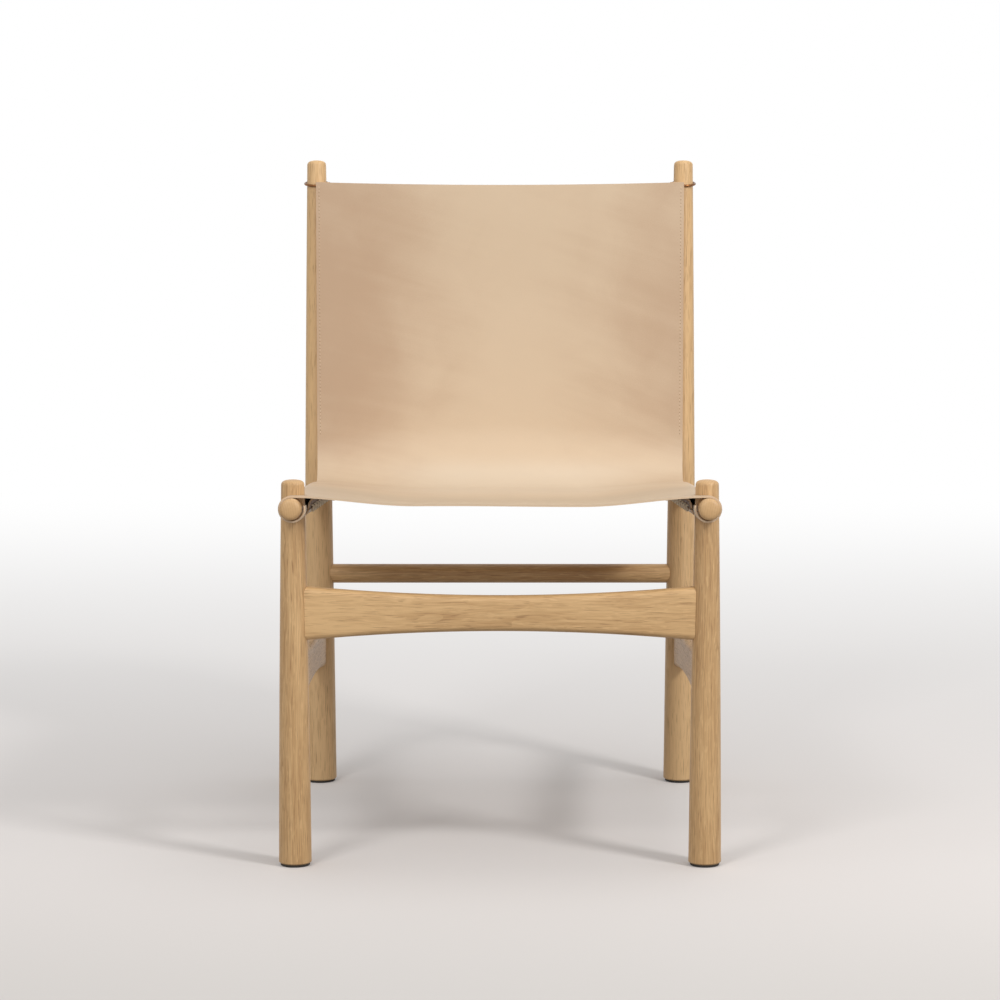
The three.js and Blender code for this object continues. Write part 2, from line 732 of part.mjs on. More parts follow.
// One turn of the whip lacing: in through the flap, up behind the seam, out through the strip and
// down across the seam towards the next hole of the flap
function laceTurn(turnIndex) {
  const rearward = laceFront + turnIndex * LACE_PITCH;
  const stripAt = rearward + STRIP_SHARE * LACE_PITCH;
  const clear = CORD_D / 2 + CORD_CLEARANCE;
  const inner = flapRadius(LACE_HOLE_ANGLE, WRAP);
  const besideRail = (RAIL_R + inner) / 2;
  const throughFlap = (reach) =>
    onRail(reach * Math.cos(LACE_HOLE_ANGLE), reach * Math.sin(LACE_HOLE_ANGLE), rearward);
  const hole = stripSection(STRIP_HOLE_SHARE, stripAt);
  const edge = flapEdge.x + LEATHER / 2 + clear;
  return [
    throughFlap(inner + LEATHER + clear),
    throughFlap(inner + LEATHER / 2),
    throughFlap(besideRail),
    onRail(besideRail, flapEdge.y / 2, rearward + BEHIND_SHARE * LACE_PITCH),
    onRail(besideRail, hole.y, stripAt),
    onRail(hole.x, hole.y, stripAt),
    onRail(hole.x + STRIP_THICKNESS / 2 + clear, hole.y, stripAt),
    onRail(edge, flapEdge.y, rearward + CROSS_SHARE * LACE_PITCH),
  ];
}

// A route whose sections fall on its own points, so that the cord runs straight through each hole
class LaceRoute extends THREE.CatmullRomCurve3 {
  getPointAt(share, target) {
    return this.getPoint(share, target);
  }

  getTangentAt(share, target) {
    return this.getTangent(share, target);
  }
}

function knot(end, before) {
  const away = end.clone().sub(before).setLength((KNOT_D - CORD_D) / 2);
  const centre = end.clone().add(away);
  return new THREE.IcosahedronGeometry(KNOT_D / 2, 1).translate(centre.x, centre.y, centre.z);
}

// The cord starts from a knot at the flap's first hole and ends in one at the strip's last
function lacingCord() {
  const route = laceTurns(laceTurn).flat().slice(0, -1);
  const section = new THREE.Shape();
  section.absarc(0, 0, CORD_D / 2, 0, Math.PI * 2);
  const cord = new THREE.ExtrudeGeometry(section, {
    steps: route.length - 1,
    curveSegments: CORD_SIDES / 2,
    extrudePath: new LaceRoute(route),
    bevelEnabled: false,
  });
  return joined(cord, knot(route[0], route[1]), knot(route.at(-1), route.at(-2)));
}

function ringGeometry(grow = 0) {
  const radius = RING_BORE / 2 + RING_WIRE / 2;
  return new THREE.TorusGeometry(radius, RING_WIRE / 2 + grow, SMALL_ROUND_SEGMENTS / 2, ROUND_SEGMENTS);
}

const ringPlace = onPost(RING_Z).add(new THREE.Vector3(0, -RING_FORWARD, 0));
const weltTop = upGroove(SLING_TOP_Z) - WELT_TOP_MARGIN;
const weltBottom = upGroove(corner.y + bendTangent(1) * backUp.y);

function edgeWelt() {
  const front = -POST_STANDOFF + SEAT_CONTACT;
  const web = WELT_WEB / 2;
  const bulb = grooveBar(WELT_BULB_D, weltBottom, weltTop);
  const neck = grooveBox(-WELT_INSET - web, -WELT_INSET + web, front, WELT_DEPTH, weltBottom, weltTop);
  const tail = grooveBox(
    -WELT_INSET - WELT_TAIL,
    -WELT_INSET + web,
    front,
    front + WELT_TAIL_THICKNESS,
    weltBottom,
    weltTop,
  );
  const pieces = [bulb, neck, tail].map((piece) => piece.applyMatrix4(grooveFrame));
  const ringHole = ringGeometry(RING_HOLE_CLEARANCE).rotateX(RING_CANT);
  return cut(joined(...pieces), ringHole.translate(...ringPlace.toArray()));
}

function weltGroove() {
  const wide = WELT_BULB_D + 2 * GROOVE_CLEARANCE;
  const slot = WELT_WEB / 2 + GROOVE_CLEARANCE;
  const bottom = weltBottom - GROOVE_ENTRY;
  const top = weltTop + GROOVE_CLEARANCE;
  const open = -POST_STANDOFF;
  return [
    grooveBar(wide, bottom, top),
    grooveBox(-WELT_INSET - slot, -WELT_INSET + slot, open, WELT_DEPTH, bottom, top),
    grooveBox(-WELT_INSET - wide / 2, -WELT_INSET + wide / 2, open, WELT_DEPTH, bottom, weltBottom),
  ].map((tool) => tool.applyMatrix4(grooveFrame));
}

function rearPost() {
  return cut(
    solidFrom(postBlank()).intersect(solidFrom(postFootTrim())),
    railRearTenon(GLUE_GAP),
    rearStretcherTenon(GLUE_GAP),
    sideRearTenon(GLUE_GAP),
    glideHole(onPost(0)),
    ...weltGroove(),
  );
}

function seatRail() {
  const body = solidFrom(rod(RAIL_D, onRail(0, 0, 0), onRail(0, 0, postMeet)));
  const coped = cut(body, legBlank(GLUE_GAP), postBlank(GLUE_GAP));
  return coped.add(solidFrom(railFrontTenon())).add(solidFrom(railRearTenon()));
}

function railKnob() {
  const profile = [[0, 0], [RAIL_R, 0], ...dome(RAIL_R, KNOB_REACH - DOME_HEIGHT)];
  const turn = new THREE.Quaternion().setFromUnitVectors(UP, railAlong.clone().negate());
  const body = turned(profile).applyQuaternion(turn).translate(SIDE_X, 0, RAIL_HEIGHT);
  return cut(solidFrom(body), legBlank(GLUE_GAP), railFrontTenon(GLUE_GAP));
}

function frontStretcher() {
  const from = mirrored(frontStretcherEnd);
  const board = solidFrom(archedBoard(from, frontStretcherEnd, FRONT_WAIST_HEIGHT));
  const leg = legBlank(GLUE_GAP);
  const tenon = frontStretcherTenon();
  return cut(board, leg, mirroredGeometry(leg)).add(joined(tenon, mirroredGeometry(tenon)));
}

function rearStretcher() {
  const body = solidFrom(rod(REAR_STRETCHER_D, mirrored(rearStretcherEnd), rearStretcherEnd));
  const post = postBlank(GLUE_GAP);
  const tenon = rearStretcherTenon();
  return cut(body, post, mirroredGeometry(post)).add(joined(tenon, mirroredGeometry(tenon)));
}

function sideStretcher() {
  const board = solidFrom(archedBoard(sideStretcherFront, sideStretcherRear, SIDE_WAIST_HEIGHT));
  const coped = cut(board, legBlank(GLUE_GAP), postBlank(GLUE_GAP));
  return coped.add(joined(sideFrontTenon(), sideRearTenon()));
}

const FINISH = {
  oak: { color: "#b98f5c", roughness: 0.55, metalness: 0 },
  leather: { color: "#d5b899", roughness: 0.6, metalness: 0 },
  cord: { color: "#c8b9a5", roughness: 0.85, metalness: 0 },
  brass: { color: "#b98a4e", roughness: 0.3, metalness: 1 },
  glide: { color: "#231c14", roughness: 0.8, metalness: 0 },
};

function piece(name, geometry, finish) {
  const mesh = new THREE.Mesh(geometry, new THREE.MeshStandardMaterial(FINISH[finish]));
  mesh.name = name;
  return mesh;
}

// Pieces that repeat on both sides, modelled on the right
const SIDE_SOLIDS = [
  ["front_leg", geometryFrom(frontLeg()), "oak"],
  ["rear_post", geometryFrom(rearPost()), "oak"],
  ["seat_rail", geometryFrom(seatRail()), "oak"],
  ["rail_knob", geometryFrom(railKnob()), "oak"],
  ["side_stretcher", geometryFrom(sideStretcher()), "oak"],
  ["lacing_strip", geometryFrom(lacingStrip()), "leather"],
  ["lacing_cord", geometryFrom(lacingCord()), "cord"],
  ["edge_welt", geometryFrom(edgeWelt()), "leather"],
];

function sideGroup(side) {
  const group = new THREE.Group();
  SIDE_SOLIDS.forEach(([name, geometry, finish]) => group.add(piece(`${name}_${side}`, geometry, finish)));
  const frontGlide = piece(`front_glide_${side}`, glide(LEG_FOOT_D), "glide");
  frontGlide.position.set(SIDE_X, 0, 0);
  const rearGlide = piece(`rear_glide_${side}`, glide(POST_FOOT_D), "glide");
  rearGlide.position.copy(onPost(0));
  const ring = piece(`top_ring_${side}`, ringGeometry(), "brass");
  ring.position.copy(ringPlace);
  ring.rotation.x = RING_CANT;
  group.add(frontGlide, rearGlide, ring);
  return group;
}

const chair = new THREE.Group();
const leftSide = sideGroup("left");
leftSide.scale.x = -1;
chair.add(leftSide, sideGroup("right"));
chair.add(piece("front_stretcher", geometryFrom(frontStretcher()), "oak"));
chair.add(piece("rear_stretcher", geometryFrom(rearStretcher()), "oak"));
chair.add(piece("sling", geometryFrom(sling()), "leather"));

// The frame's origin is on the floor, under the middle of the chair's own box
const box = new THREE.Box3().setFromObject(chair);
chair.position.y = -box.getCenter(new THREE.Vector3()).y;

const part = new THREE.Group();
part.add(chair);

export default part;
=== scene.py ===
# Leather sling lounge chair: a glued oak frame of turned legs, round rails and arched stretchers with
# one piece of saddle leather as seat and back. Metres, +Z up; the chair faces -Y, and left and right
# are as seen from the front.
import math

import bpy
import numpy as np
from mathutils import Matrix, Vector


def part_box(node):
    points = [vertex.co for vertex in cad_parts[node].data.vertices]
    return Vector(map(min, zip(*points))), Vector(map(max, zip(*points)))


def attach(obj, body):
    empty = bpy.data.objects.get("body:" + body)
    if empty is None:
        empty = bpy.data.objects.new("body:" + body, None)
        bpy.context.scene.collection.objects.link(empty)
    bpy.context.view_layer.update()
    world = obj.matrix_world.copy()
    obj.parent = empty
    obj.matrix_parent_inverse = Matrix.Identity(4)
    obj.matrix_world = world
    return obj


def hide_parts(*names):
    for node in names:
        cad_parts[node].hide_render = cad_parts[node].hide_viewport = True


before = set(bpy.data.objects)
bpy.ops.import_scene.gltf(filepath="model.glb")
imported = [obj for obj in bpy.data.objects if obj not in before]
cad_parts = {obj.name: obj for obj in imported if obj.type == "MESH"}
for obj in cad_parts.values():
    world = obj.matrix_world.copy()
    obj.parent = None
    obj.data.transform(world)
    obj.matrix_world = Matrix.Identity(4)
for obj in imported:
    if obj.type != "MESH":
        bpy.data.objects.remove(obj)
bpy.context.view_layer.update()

# Front legs: light oak, each turned in one piece with a taper that swells a little half way up and ends
# in a soft domed top. They are mortised for the stretchers and bored for the seat rail, and the wood is
# only oiled, so its pores stay open.
leg_low, leg_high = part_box("front_leg_right")
SIDE_X = (leg_low.x + leg_high.x) / 2
FRONT_Y = (leg_low.y + leg_high.y) / 2
LEG_FOOT_R = (leg_high.x - leg_low.x) / 2
LEG_TOP_R = 0.0131
LEG_TOP = leg_high.z
FOOT_Z = leg_low.z
FOOT_CHAMFER = 0.0015
LEG_SWELL = 0.0006
SWELL_STEPS = 14
DOME_RISE = 0.0023
EDGE_EASE = 0.0042
DOME_HEIGHT = DOME_RISE + EDGE_EASE
ROUND_SIDES = 96
EASE_STEPS = 6
CROWN_STEPS = 10
CROWN_TIP = 0.01
SHARP_EDGE = math.radians(40)
UP = Vector((0, 0, 1))
MIDDLE_TONE = 0.5
MIRROR = Matrix.Scale(-1, 4, (1, 0, 0))
SIDES = (("left", -1), ("right", 1))


def linear(red, green, blue):
    """A colour given in screen values from 0 to 255."""
    shares = [value / 255 for value in (red, green, blue)]
    lit = [s / 12.92 if s <= 0.04045 else ((s + 0.055) / 1.055) ** 2.4 for s in shares]
    return (*lit, 1.0)


def add(tree, kind, inputs=None, **settings):
    """A node with its settings made and its inputs set or linked."""
    node = tree.nodes.new(kind)
    for key, value in settings.items():
        setattr(node, key, value)
    for key, value in (inputs or {}).items():
        if isinstance(value, bpy.types.NodeSocket):
            tree.links.new(value, node.inputs[key])
        else:
            node.inputs[key].default_value = value
    return node


def number(tree, operation, *values):
    return add(tree, "ShaderNodeMath", dict(enumerate(values)), operation=operation).outputs[0]


def vector(tree, operation, *values):
    return add(tree, "ShaderNodeVectorMath", dict(enumerate(values)), operation=operation)


def noise(tree, place, stretch, detail=2.0, distortion=0.0):
    """Noise whose grains are as long, on each axis, as one over the stretch."""
    scaled = vector(tree, "MULTIPLY", place, stretch).outputs[0]
    inputs = {"Vector": scaled, "Scale": 1.0, "Detail": detail, "Distortion": distortion}
    return add(tree, "ShaderNodeTexNoise", inputs)


def ramp(tree, value, low, high, start=0.0, end=1.0):
    inputs = {"Value": value, "From Min": low, "From Max": high, "To Min": start, "To Max": end}
    return add(tree, "ShaderNodeMapRange", inputs, interpolation_type="SMOOTHSTEP").outputs[0]


def tint(tree, factor, first, second):
    inputs = {0: factor, 6: first, 7: second}
    return add(tree, "ShaderNodeMix", inputs, data_type="RGBA").outputs[2]


def tone_sum(tree, base, *parts):
    """A base value plus each part's swing about its middle, times its weight."""
    total = base
    for value, weight in parts:
        swing = number(tree, "SUBTRACT", value, MIDDLE_TONE)
        total = number(tree, "MULTIPLY_ADD", swing, weight, total)
    return total


def new_group(name, kind, inputs, outputs):
    """A node group with its named sockets, and the nodes that carry them inside."""
    tree = bpy.data.node_groups.new(name, kind)
    for label, socket, default in inputs:
        made = tree.interface.new_socket(label, in_out="INPUT", socket_type=socket)
        if default is not None:
            made.default_value = default
    for label, socket in outputs:
        tree.interface.new_socket(label, in_out="OUTPUT", socket_type=socket)
    return tree, tree.nodes.new("NodeGroupInput").outputs, tree.nodes.new("NodeGroupOutput")


# Marks of the wood: waves in a metre across and along its fibres, where each starts, how much it shows
WANDER_WAVES = (14, 14, 7)
WANDER_REACH = (0.011, 0.011, 0)
BAND_WAVES = (95, 95, 7)
STREAK_WAVES = (330, 330, 14)
FLECK_WAVES = (760, 760, 34)
RAY_WAVES = (380, 380, 75)
CLOUD_WAVES = (18, 18, 6)
PORE_WAVES = (900, 900, 38)
ACROSS_FIBRES = (1, 1, 0)
MIDDLE_TONES = (MIDDLE_TONE, MIDDLE_TONE, MIDDLE_TONE)
EARLY_WOOD_END = 0.45
RAY_LIMITS = (0.58, 0.72)
PORE_LIMITS = (0.56, 0.72)
EARLY_WOOD_PORES = 0.05
BAND_SHOWS = 0.55
STREAK_SHOWS = 0.85
FLECK_SHOWS = 0.95
RAY_SHOWS = 0.22
CLOUD_SHOWS = 0.6
EARLY_WOOD_SHOWS = -0.17
PORE_SHOWS = 0.36
END_GRAIN_MARKS = 0.25
END_GRAIN_LIMITS = (0.35, 0.8)
OAK_ROUGHNESS = 0.56
PORE_ROUGHNESS = 0.2
PORE_SINKS = -1.6
OAK_RELIEF = 0.3
OAK_RELIEF_DEPTH = 0.0003
LOG_STEP = Vector((0.37, 0.53, 0.91))
RING_WIDTH = 0.0026
OAK_PALENESS = 0.55

oak_grain, grain_in, grain_out = new_group(
    "oak_grain",
    "ShaderNodeTree",
    (
        ("Vector", "NodeSocketVector", None),
        ("Pith", "NodeSocketVector", None),
        ("Ring Width", "NodeSocketFloat", RING_WIDTH),
        ("End Grain", "NodeSocketFloat", 0.0),
        ("Paleness", "NodeSocketFloat", OAK_PALENESS),
        ("Light", "NodeSocketColor", linear(219, 180, 129)),
        ("Dark", "NodeSocketColor", linear(168, 126, 80)),
        ("Pore", "NodeSocketColor", linear(116, 79, 45)),
    ),
    (
        ("Color", "NodeSocketColor"),
        ("Roughness", "NodeSocketFloat"),
        ("Height", "NodeSocketFloat"),
    ),
)
wander = noise(oak_grain, grain_in["Vector"], WANDER_WAVES, detail=3.0).outputs["Color"]
wander = vector(oak_grain, "SUBTRACT", wander, MIDDLE_TONES).outputs[0]
wander = vector(oak_grain, "MULTIPLY", wander, WANDER_REACH).outputs[0]
wavy = vector(oak_grain, "ADD", grain_in["Vector"], wander).outputs[0]
from_pith = vector(oak_grain, "SUBTRACT", wavy, grain_in["Pith"]).outputs[0]
from_pith = vector(oak_grain, "MULTIPLY", from_pith, ACROSS_FIBRES).outputs[0]
ring_count = vector(oak_grain, "LENGTH", from_pith).outputs["Value"]
ring_count = number(oak_grain, "DIVIDE", ring_count, grain_in["Ring Width"])
year = number(oak_grain, "FRACT", ring_count)
early_wood = ramp(oak_grain, year, 0.0, EARLY_WOOD_END, 1.0, 0.0)
band = noise(oak_grain, wavy, BAND_WAVES, detail=2.0).outputs[0]
streak = noise(oak_grain, wavy, STREAK_WAVES, detail=3.0).outputs[0]
fleck = noise(oak_grain, wavy, FLECK_WAVES, detail=2.0).outputs[0]
ray = noise(oak_grain, wavy, RAY_WAVES, detail=1.0).outputs[0]
ray = ramp(oak_grain, ray, *RAY_LIMITS)
cloud = noise(oak_grain, grain_in["Vector"], CLOUD_WAVES, detail=2.0).outputs[0]
pore = noise(oak_grain, wavy, PORE_WAVES, detail=1.0).outputs[0]
pore = ramp(oak_grain, tone_sum(oak_grain, pore, (early_wood, EARLY_WOOD_PORES)), *PORE_LIMITS)
along_grain = number(oak_grain, "SUBTRACT", 1.0, grain_in["End Grain"])
pore = number(oak_grain, "MULTIPLY", pore, along_grain)
marks = tone_sum(oak_grain, 0.0, (band, BAND_SHOWS), (streak, STREAK_SHOWS), (fleck, FLECK_SHOWS))
marks = number(oak_grain, "MULTIPLY_ADD", ray, RAY_SHOWS, marks)
marks_shown = number(oak_grain, "MULTIPLY_ADD", along_grain, 1 - END_GRAIN_MARKS, END_GRAIN_MARKS)
marks = number(oak_grain, "MULTIPLY", marks, marks_shown)
tone = tone_sum(oak_grain, grain_in["Paleness"], (cloud, CLOUD_SHOWS), (early_wood, EARLY_WOOD_SHOWS))
tone = number(oak_grain, "ADD", tone, marks)
oak_colour = tint(oak_grain, tone, grain_in["Dark"], grain_in["Light"])
oak_colour = tint(oak_grain, number(oak_grain, "MULTIPLY", pore, PORE_SHOWS), oak_colour, grain_in["Pore"])
oak_roughness = tone_sum(oak_grain, OAK_ROUGHNESS, (pore, PORE_ROUGHNESS))
oak_height = tone_sum(oak_grain, tone, (pore, PORE_SINKS))
oak_grain.links.new(oak_colour, grain_out.inputs["Color"])
oak_grain.links.new(oak_roughness, grain_out.inputs["Roughness"])
oak_grain.links.new(oak_height, grain_out.inputs["Height"])


def bare_material(name):
    material = bpy.data.materials.new(name)
    material.use_nodes = True
    return material, material.node_tree


def surface(tree, colour, roughness, height, relief, depth):
    """Colour, roughness and fine relief on a material's own shader."""
    shader = tree.nodes["Principled BSDF"]
    bump = add(tree, "ShaderNodeBump", {"Height": height, "Strength": relief, "Distance": depth})
    tree.links.new(colour, shader.inputs["Base Color"])
    tree.links.new(roughness, shader.inputs["Roughness"])
    tree.links.new(bump.outputs[0], shader.inputs["Normal"])
    return shader


def oak(name, start, end, seed, pith, ring_width=RING_WIDTH, paleness=OAK_PALENESS):
    """Oak with its grain running from one point to another, cut from its own part of the log."""
    material, tree = bare_material(name)
    turn = (end - start).rotation_difference(UP)
    place = add(tree, "ShaderNodeTexCoord").outputs
    mapped = {"Vector": place["Object"], "Location": -(turn @ start), "Rotation": turn.to_euler()}
    local = add(tree, "ShaderNodeMapping", mapped).outputs[0]
    facing = vector(tree, "DOT_PRODUCT", place["Normal"], (end - start).normalized()).outputs["Value"]
    apart = LOG_STEP * seed
    inputs = {
        "Vector": vector(tree, "ADD", local, apart).outputs[0],
        "Pith": apart + Vector(pith),
        "Ring Width": ring_width,
        "Paleness": paleness,
        "End Grain": ramp(tree, number(tree, "ABSOLUTE", facing), *END_GRAIN_LIMITS),
    }
    grain = add(tree, "ShaderNodeGroup", inputs, node_tree=oak_grain).outputs
    surface(tree, grain["Color"], grain["Roughness"], grain["Height"], OAK_RELIEF, OAK_RELIEF_DEPTH)
    return material


def mesh_piece(name, points, faces, *materials):
    mesh = bpy.data.meshes.new(name)
    mesh.from_pydata([tuple(point) for point in points], [], faces)
    mesh.shade_smooth()
    for material in materials:
        mesh.materials.append(material)
    made = bpy.data.objects.new(name, mesh)
    bpy.context.scene.collection.objects.link(made)
    return made


def skin(rows):
    """Points and faces of closed rings in order, with a fan over each end."""
    count = len(rows[0])
    points = [point for row in rows for point in row]
    faces = []
    for row in range(len(rows) - 1):
        for side in range(count):
            here, there = row * count + side, row * count + (side + 1) % count
            faces.append((here, there, there + count, here + count))
    for row, ends in ((rows[0], (1, 0)), (rows[-1], (0, 1))):
        base = 0 if row is rows[0] else len(points) - count - 1
        points.append(sum((Vector(point) for point in row), Vector()) / count)
        for side in range(count):
            pair = (base + side, base + (side + 1) % count)
            faces.append((len(points) - 1, pair[ends[0]], pair[ends[1]]))
    return points, faces


def ring(radius, height, sides=ROUND_SIDES):
    turns = [2 * math.pi * side / sides for side in range(sides)]
    return [Vector((radius * math.cos(a), radius * math.sin(a), height)) for a in turns]


def dome(radius, base):
    """Radius and height of each ring of a domed end: an eased shoulder and a shallow crown."""
    edge = base + EDGE_EASE
    inner = radius - EDGE_EASE
    crown_edge = edge + DOME_RISE * (1 - (inner / radius) ** 2)
    profile = []
    for share in np.linspace(0, 1, EASE_STEPS + 1):
        reach = (1 - share**2) * radius + share**2 * inner
        height = (1 - share) ** 2 * base + 2 * share * (1 - share) * edge + share**2 * crown_edge
        profile.append((reach, height))
    for share in np.linspace(1, CROWN_TIP, CROWN_STEPS + 1)[1:]:
        reach = inner * share
        profile.append((reach, edge + DOME_RISE * (1 - (reach / radius) ** 2)))
    return profile


def mirrored(piece, name, *materials):
    """The same piece for the left side."""
    mesh = piece.data.copy()
    mesh.name = name
    mesh.transform(MIRROR)
    mesh.flip_normals()
    for slot, material in enumerate(materials):
        mesh.materials[slot] = material
    made = bpy.data.objects.new(name, mesh)
    bpy.context.scene.collection.objects.link(made)
    return made


def keep(piece, slot, *nodes):
    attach(piece, "root")
    if nodes:
        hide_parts(*nodes)


def turned(share, foot_radius, top_radius, swell):
    """Radius of a turned piece at a share of its height: a taper that swells a little half way up."""
    return foot_radius + (top_radius - foot_radius) * share + swell * 4 * share * (1 - share)


def leg_radius(height):
    return turned(height / LEG_TOP, LEG_FOOT_R, LEG_TOP_R, LEG_SWELL)


def leg_rings():
    shoulder = LEG_TOP - DOME_HEIGHT
    levels = np.linspace(FOOT_Z + FOOT_CHAMFER, shoulder, SWELL_STEPS)[:-1]
    profile = [(leg_radius(0) - FOOT_CHAMFER, FOOT_Z)]
    profile += [(leg_radius(level), level) for level in levels]
    return [ring(*level) for level in (*profile, *dome(leg_radius(shoulder), shoulder))]


for order, (side, sign) in enumerate(SIDES):
    foot = Vector((SIDE_X * sign, FRONT_Y, 0))
    points, faces = skin([[point + foot for point in row] for row in leg_rings()])
    wood = oak(f"oak_front_leg_{side}", foot, foot + UP, order + 1, pith=(0.035 * sign, -0.028, 0))
    leg = mesh_piece(f"front_leg_{side}_oak", points, faces, wood)
    leg.data.set_sharp_from_angle(angle=SHARP_EDGE)
    keep(leg, "oak", f"front_leg_{side}")

# Rear posts: turned from the same oak with the same slight swell, leaning back and a little outward,
# with level feet. A keyhole groove is routed down the front of each for the welt of the leather.
POST_LEAN = math.radians(7)
POST_SPLAY = math.radians(0.41)
POST_FOOT_R = 0.021
POST_TOP_R = 0.0122
POST_TOP = 0.801
POST_SWELL = 0.0006
GROOVE_INSET = 0.002
GROOVE_DEPTH = 0.0065
GROOVE_BORE_R = 0.0034
GROOVE_SLOT = 0.0016
GROOVE_ENTRY = 0.022
GROOVE_END_GAP = 0.0004
SHARP_CUT = math.radians(35)
POST_STANDOFF = 0.0048

glide_low, glide_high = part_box("rear_glide_right")
post_foot = Vector(((glide_low.x + glide_high.x) / 2, (glide_low.y + glide_high.y) / 2, 0))
post_rise = Vector((math.tan(POST_SPLAY), math.tan(POST_LEAN), 1))
post_along = post_rise.normalized()
post_length = POST_TOP / post_along.z


def on_post(height):
    return post_foot + post_rise * height


def post_radius(distance):
    return turned(distance / post_length, POST_FOOT_R, POST_TOP_R, POST_SWELL)


def post_rings():
    """Rings in the post's own frame, the lowest ones slid along it until they lie level."""
    turn = UP.rotation_difference(post_along)
    shoulder = post_length - DOME_HEIGHT
    rows = []
    for inset, level in ((FOOT_CHAMFER, FOOT_Z), (0, FOOT_Z + FOOT_CHAMFER)):
        row = [post_foot + turn @ point for point in ring(post_radius(0) - inset, 0)]
        rows.append([point + post_rise * (level - point.z) for point in row])
    body = [(post_radius(level), level) for level in np.linspace(0, shoulder, SWELL_STEPS)[1:-1]]
    upper = [ring(*level) for level in (*body, *dome(post_radius(shoulder), shoulder))]
    return rows + [[post_foot + turn @ point for point in row] for row in upper]


# The groove's frame: z runs up the front line of the post, y into the wood, x outward
post_front = Vector((0, -1, 0))
post_front = (post_front - post_along * post_front.dot(post_along)).normalized()
groove_along = (post_along + post_front * (POST_TOP_R - POST_FOOT_R) / post_length).normalized()
groove_inward = -post_front
groove_inward = (groove_inward - groove_along * groove_inward.dot(groove_along)).normalized()
groove_start = post_foot + post_front * POST_FOOT_R
groove_side = groove_inward.cross(groove_along)
groove_frame = Matrix((groove_side, groove_inward, groove_along)).transposed().to_4x4()
groove_frame.translation = groove_start


def up_groove(height):
    return (height - groove_start.z) / groove_along.z


def prism(name, outline, place, low, high, *materials):
    """A straight bar of one outline, drawn anticlockwise in x and y."""
    rows = [[place @ Vector((x, y, z)) for x, y in outline] for z in (low, high)]
    points, faces = skin(rows)
    count = len(outline)
    sides = faces[:count]
    ends = [tuple(range(count - 1, -1, -1)), tuple(range(count, 2 * count))]
    return mesh_piece(name, points[: 2 * count], sides + ends, *materials)


def bulb(radius, half_neck, steps=24):
    """The round of a keyhole outline, from one side of its neck to the other."""
    gap = math.asin(min(half_neck / radius, 1))
    turns = np.linspace(-math.pi / 2 + gap, 1.5 * math.pi - gap, steps)
    return [(-GROOVE_INSET + radius * math.cos(a), GROOVE_DEPTH + radius * math.sin(a)) for a in turns]


def plain(host, name):
    """The shape a piece has with its modifiers, as a plain mesh of its own."""
    graph = bpy.context.evaluated_depsgraph_get()
    mesh = bpy.data.meshes.new_from_object(host.evaluated_get(graph), depsgraph=graph)
    bpy.data.objects.remove(host)
    mesh.name = name
    made = bpy.data.objects.new(name, mesh)
    bpy.context.scene.collection.objects.link(made)
    return made


def carved(piece, name, *tools):
    for tool in tools:
        cut = piece.modifiers.new("cut", "BOOLEAN")
        cut.object = tool
        cut.solver = "EXACT"
    made = plain(piece, name)
    for tool in tools:
        bpy.data.objects.remove(tool)
    made.data.set_sharp_from_angle(angle=SHARP_CUT)
    return made


# The welt's lower and upper end along the groove, which is cut to take it
SLING_TOP_Z = 0.773
WELT_TOP_MARGIN = 0.0005
welt_low = up_groove(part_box("edge_welt_right")[0].z)
welt_high = up_groove(SLING_TOP_Z) - WELT_TOP_MARGIN

wood_right = oak("oak_rear_post_right", on_post(0), on_post(1), 3, pith=(0.03, -0.03, 0), paleness=0.9)
wood_left = oak("oak_rear_post_left", on_post(0), on_post(1), 4, pith=(-0.03, -0.02, 0), paleness=1.0)
points, faces = skin(post_rings())
post = mesh_piece("post_blank", points, faces, wood_right)
mouth = -2 * POST_STANDOFF
slot_left, slot_right = -GROOVE_INSET - GROOVE_SLOT, -GROOVE_INSET + GROOVE_SLOT
groove_round = bulb(GROOVE_BORE_R, GROOVE_SLOT)
keyhole = [(slot_left, mouth), (slot_right, mouth), *groove_round]
entry_left = -GROOVE_INSET - GROOVE_BORE_R
entry_round = [(x, y) for x, y in groove_round if x > -GROOVE_INSET or y > GROOVE_DEPTH]
entry = [(entry_left, mouth), (slot_right, mouth), *entry_round, (entry_left, GROOVE_DEPTH)]
groove_low, groove_high = welt_low - GROOVE_ENTRY / 2, welt_high + GROOVE_END_GAP
post = carved(
    post,
    "rear_post_right_oak",
    prism("groove_tool", keyhole, groove_frame, groove_low, groove_high, wood_right),
    prism("entry_tool", entry, groove_frame, welt_low - GROOVE_ENTRY, welt_low, wood_right),
)
keep(post, "oak", "rear_post_right")
keep(mirrored(post, "rear_post_left_oak", wood_left), "oak", "rear_post_left")

# Seat rails: round oak, tenoned through the front legs into the knobs and blind into the posts. The
# knobs are turned ends of the same stock, coped to the leg and glued on the rail's tenon.
RAIL_SLOPE = math.radians(4)
RAIL_R = 0.0123
RAIL_Z = 0.4113
KNOB_REACH = 0.056
JOINT_GAP = 0.0003
COPE_REACH = 0.06
COPE_TRIES = 30
UPRIGHT = 0.9

rail_start = Vector((SIDE_X, FRONT_Y, RAIL_Z))
rail_along = Vector((0, math.cos(RAIL_SLOPE), -math.sin(RAIL_SLOPE)))
rail_up = Vector((0, math.sin(RAIL_SLOPE), math.cos(RAIL_SLOPE)))


def on_rail(inward, up, rearward):
    """A point given from the right rail's axis at the front leg."""
    return rail_start + Vector((-inward, 0, 0)) + rail_up * up + rail_along * rearward


def in_leg(point):
    away = math.hypot(abs(point.x) - SIDE_X, point.y - FRONT_Y)
    return away < leg_radius(point.z) + JOINT_GAP


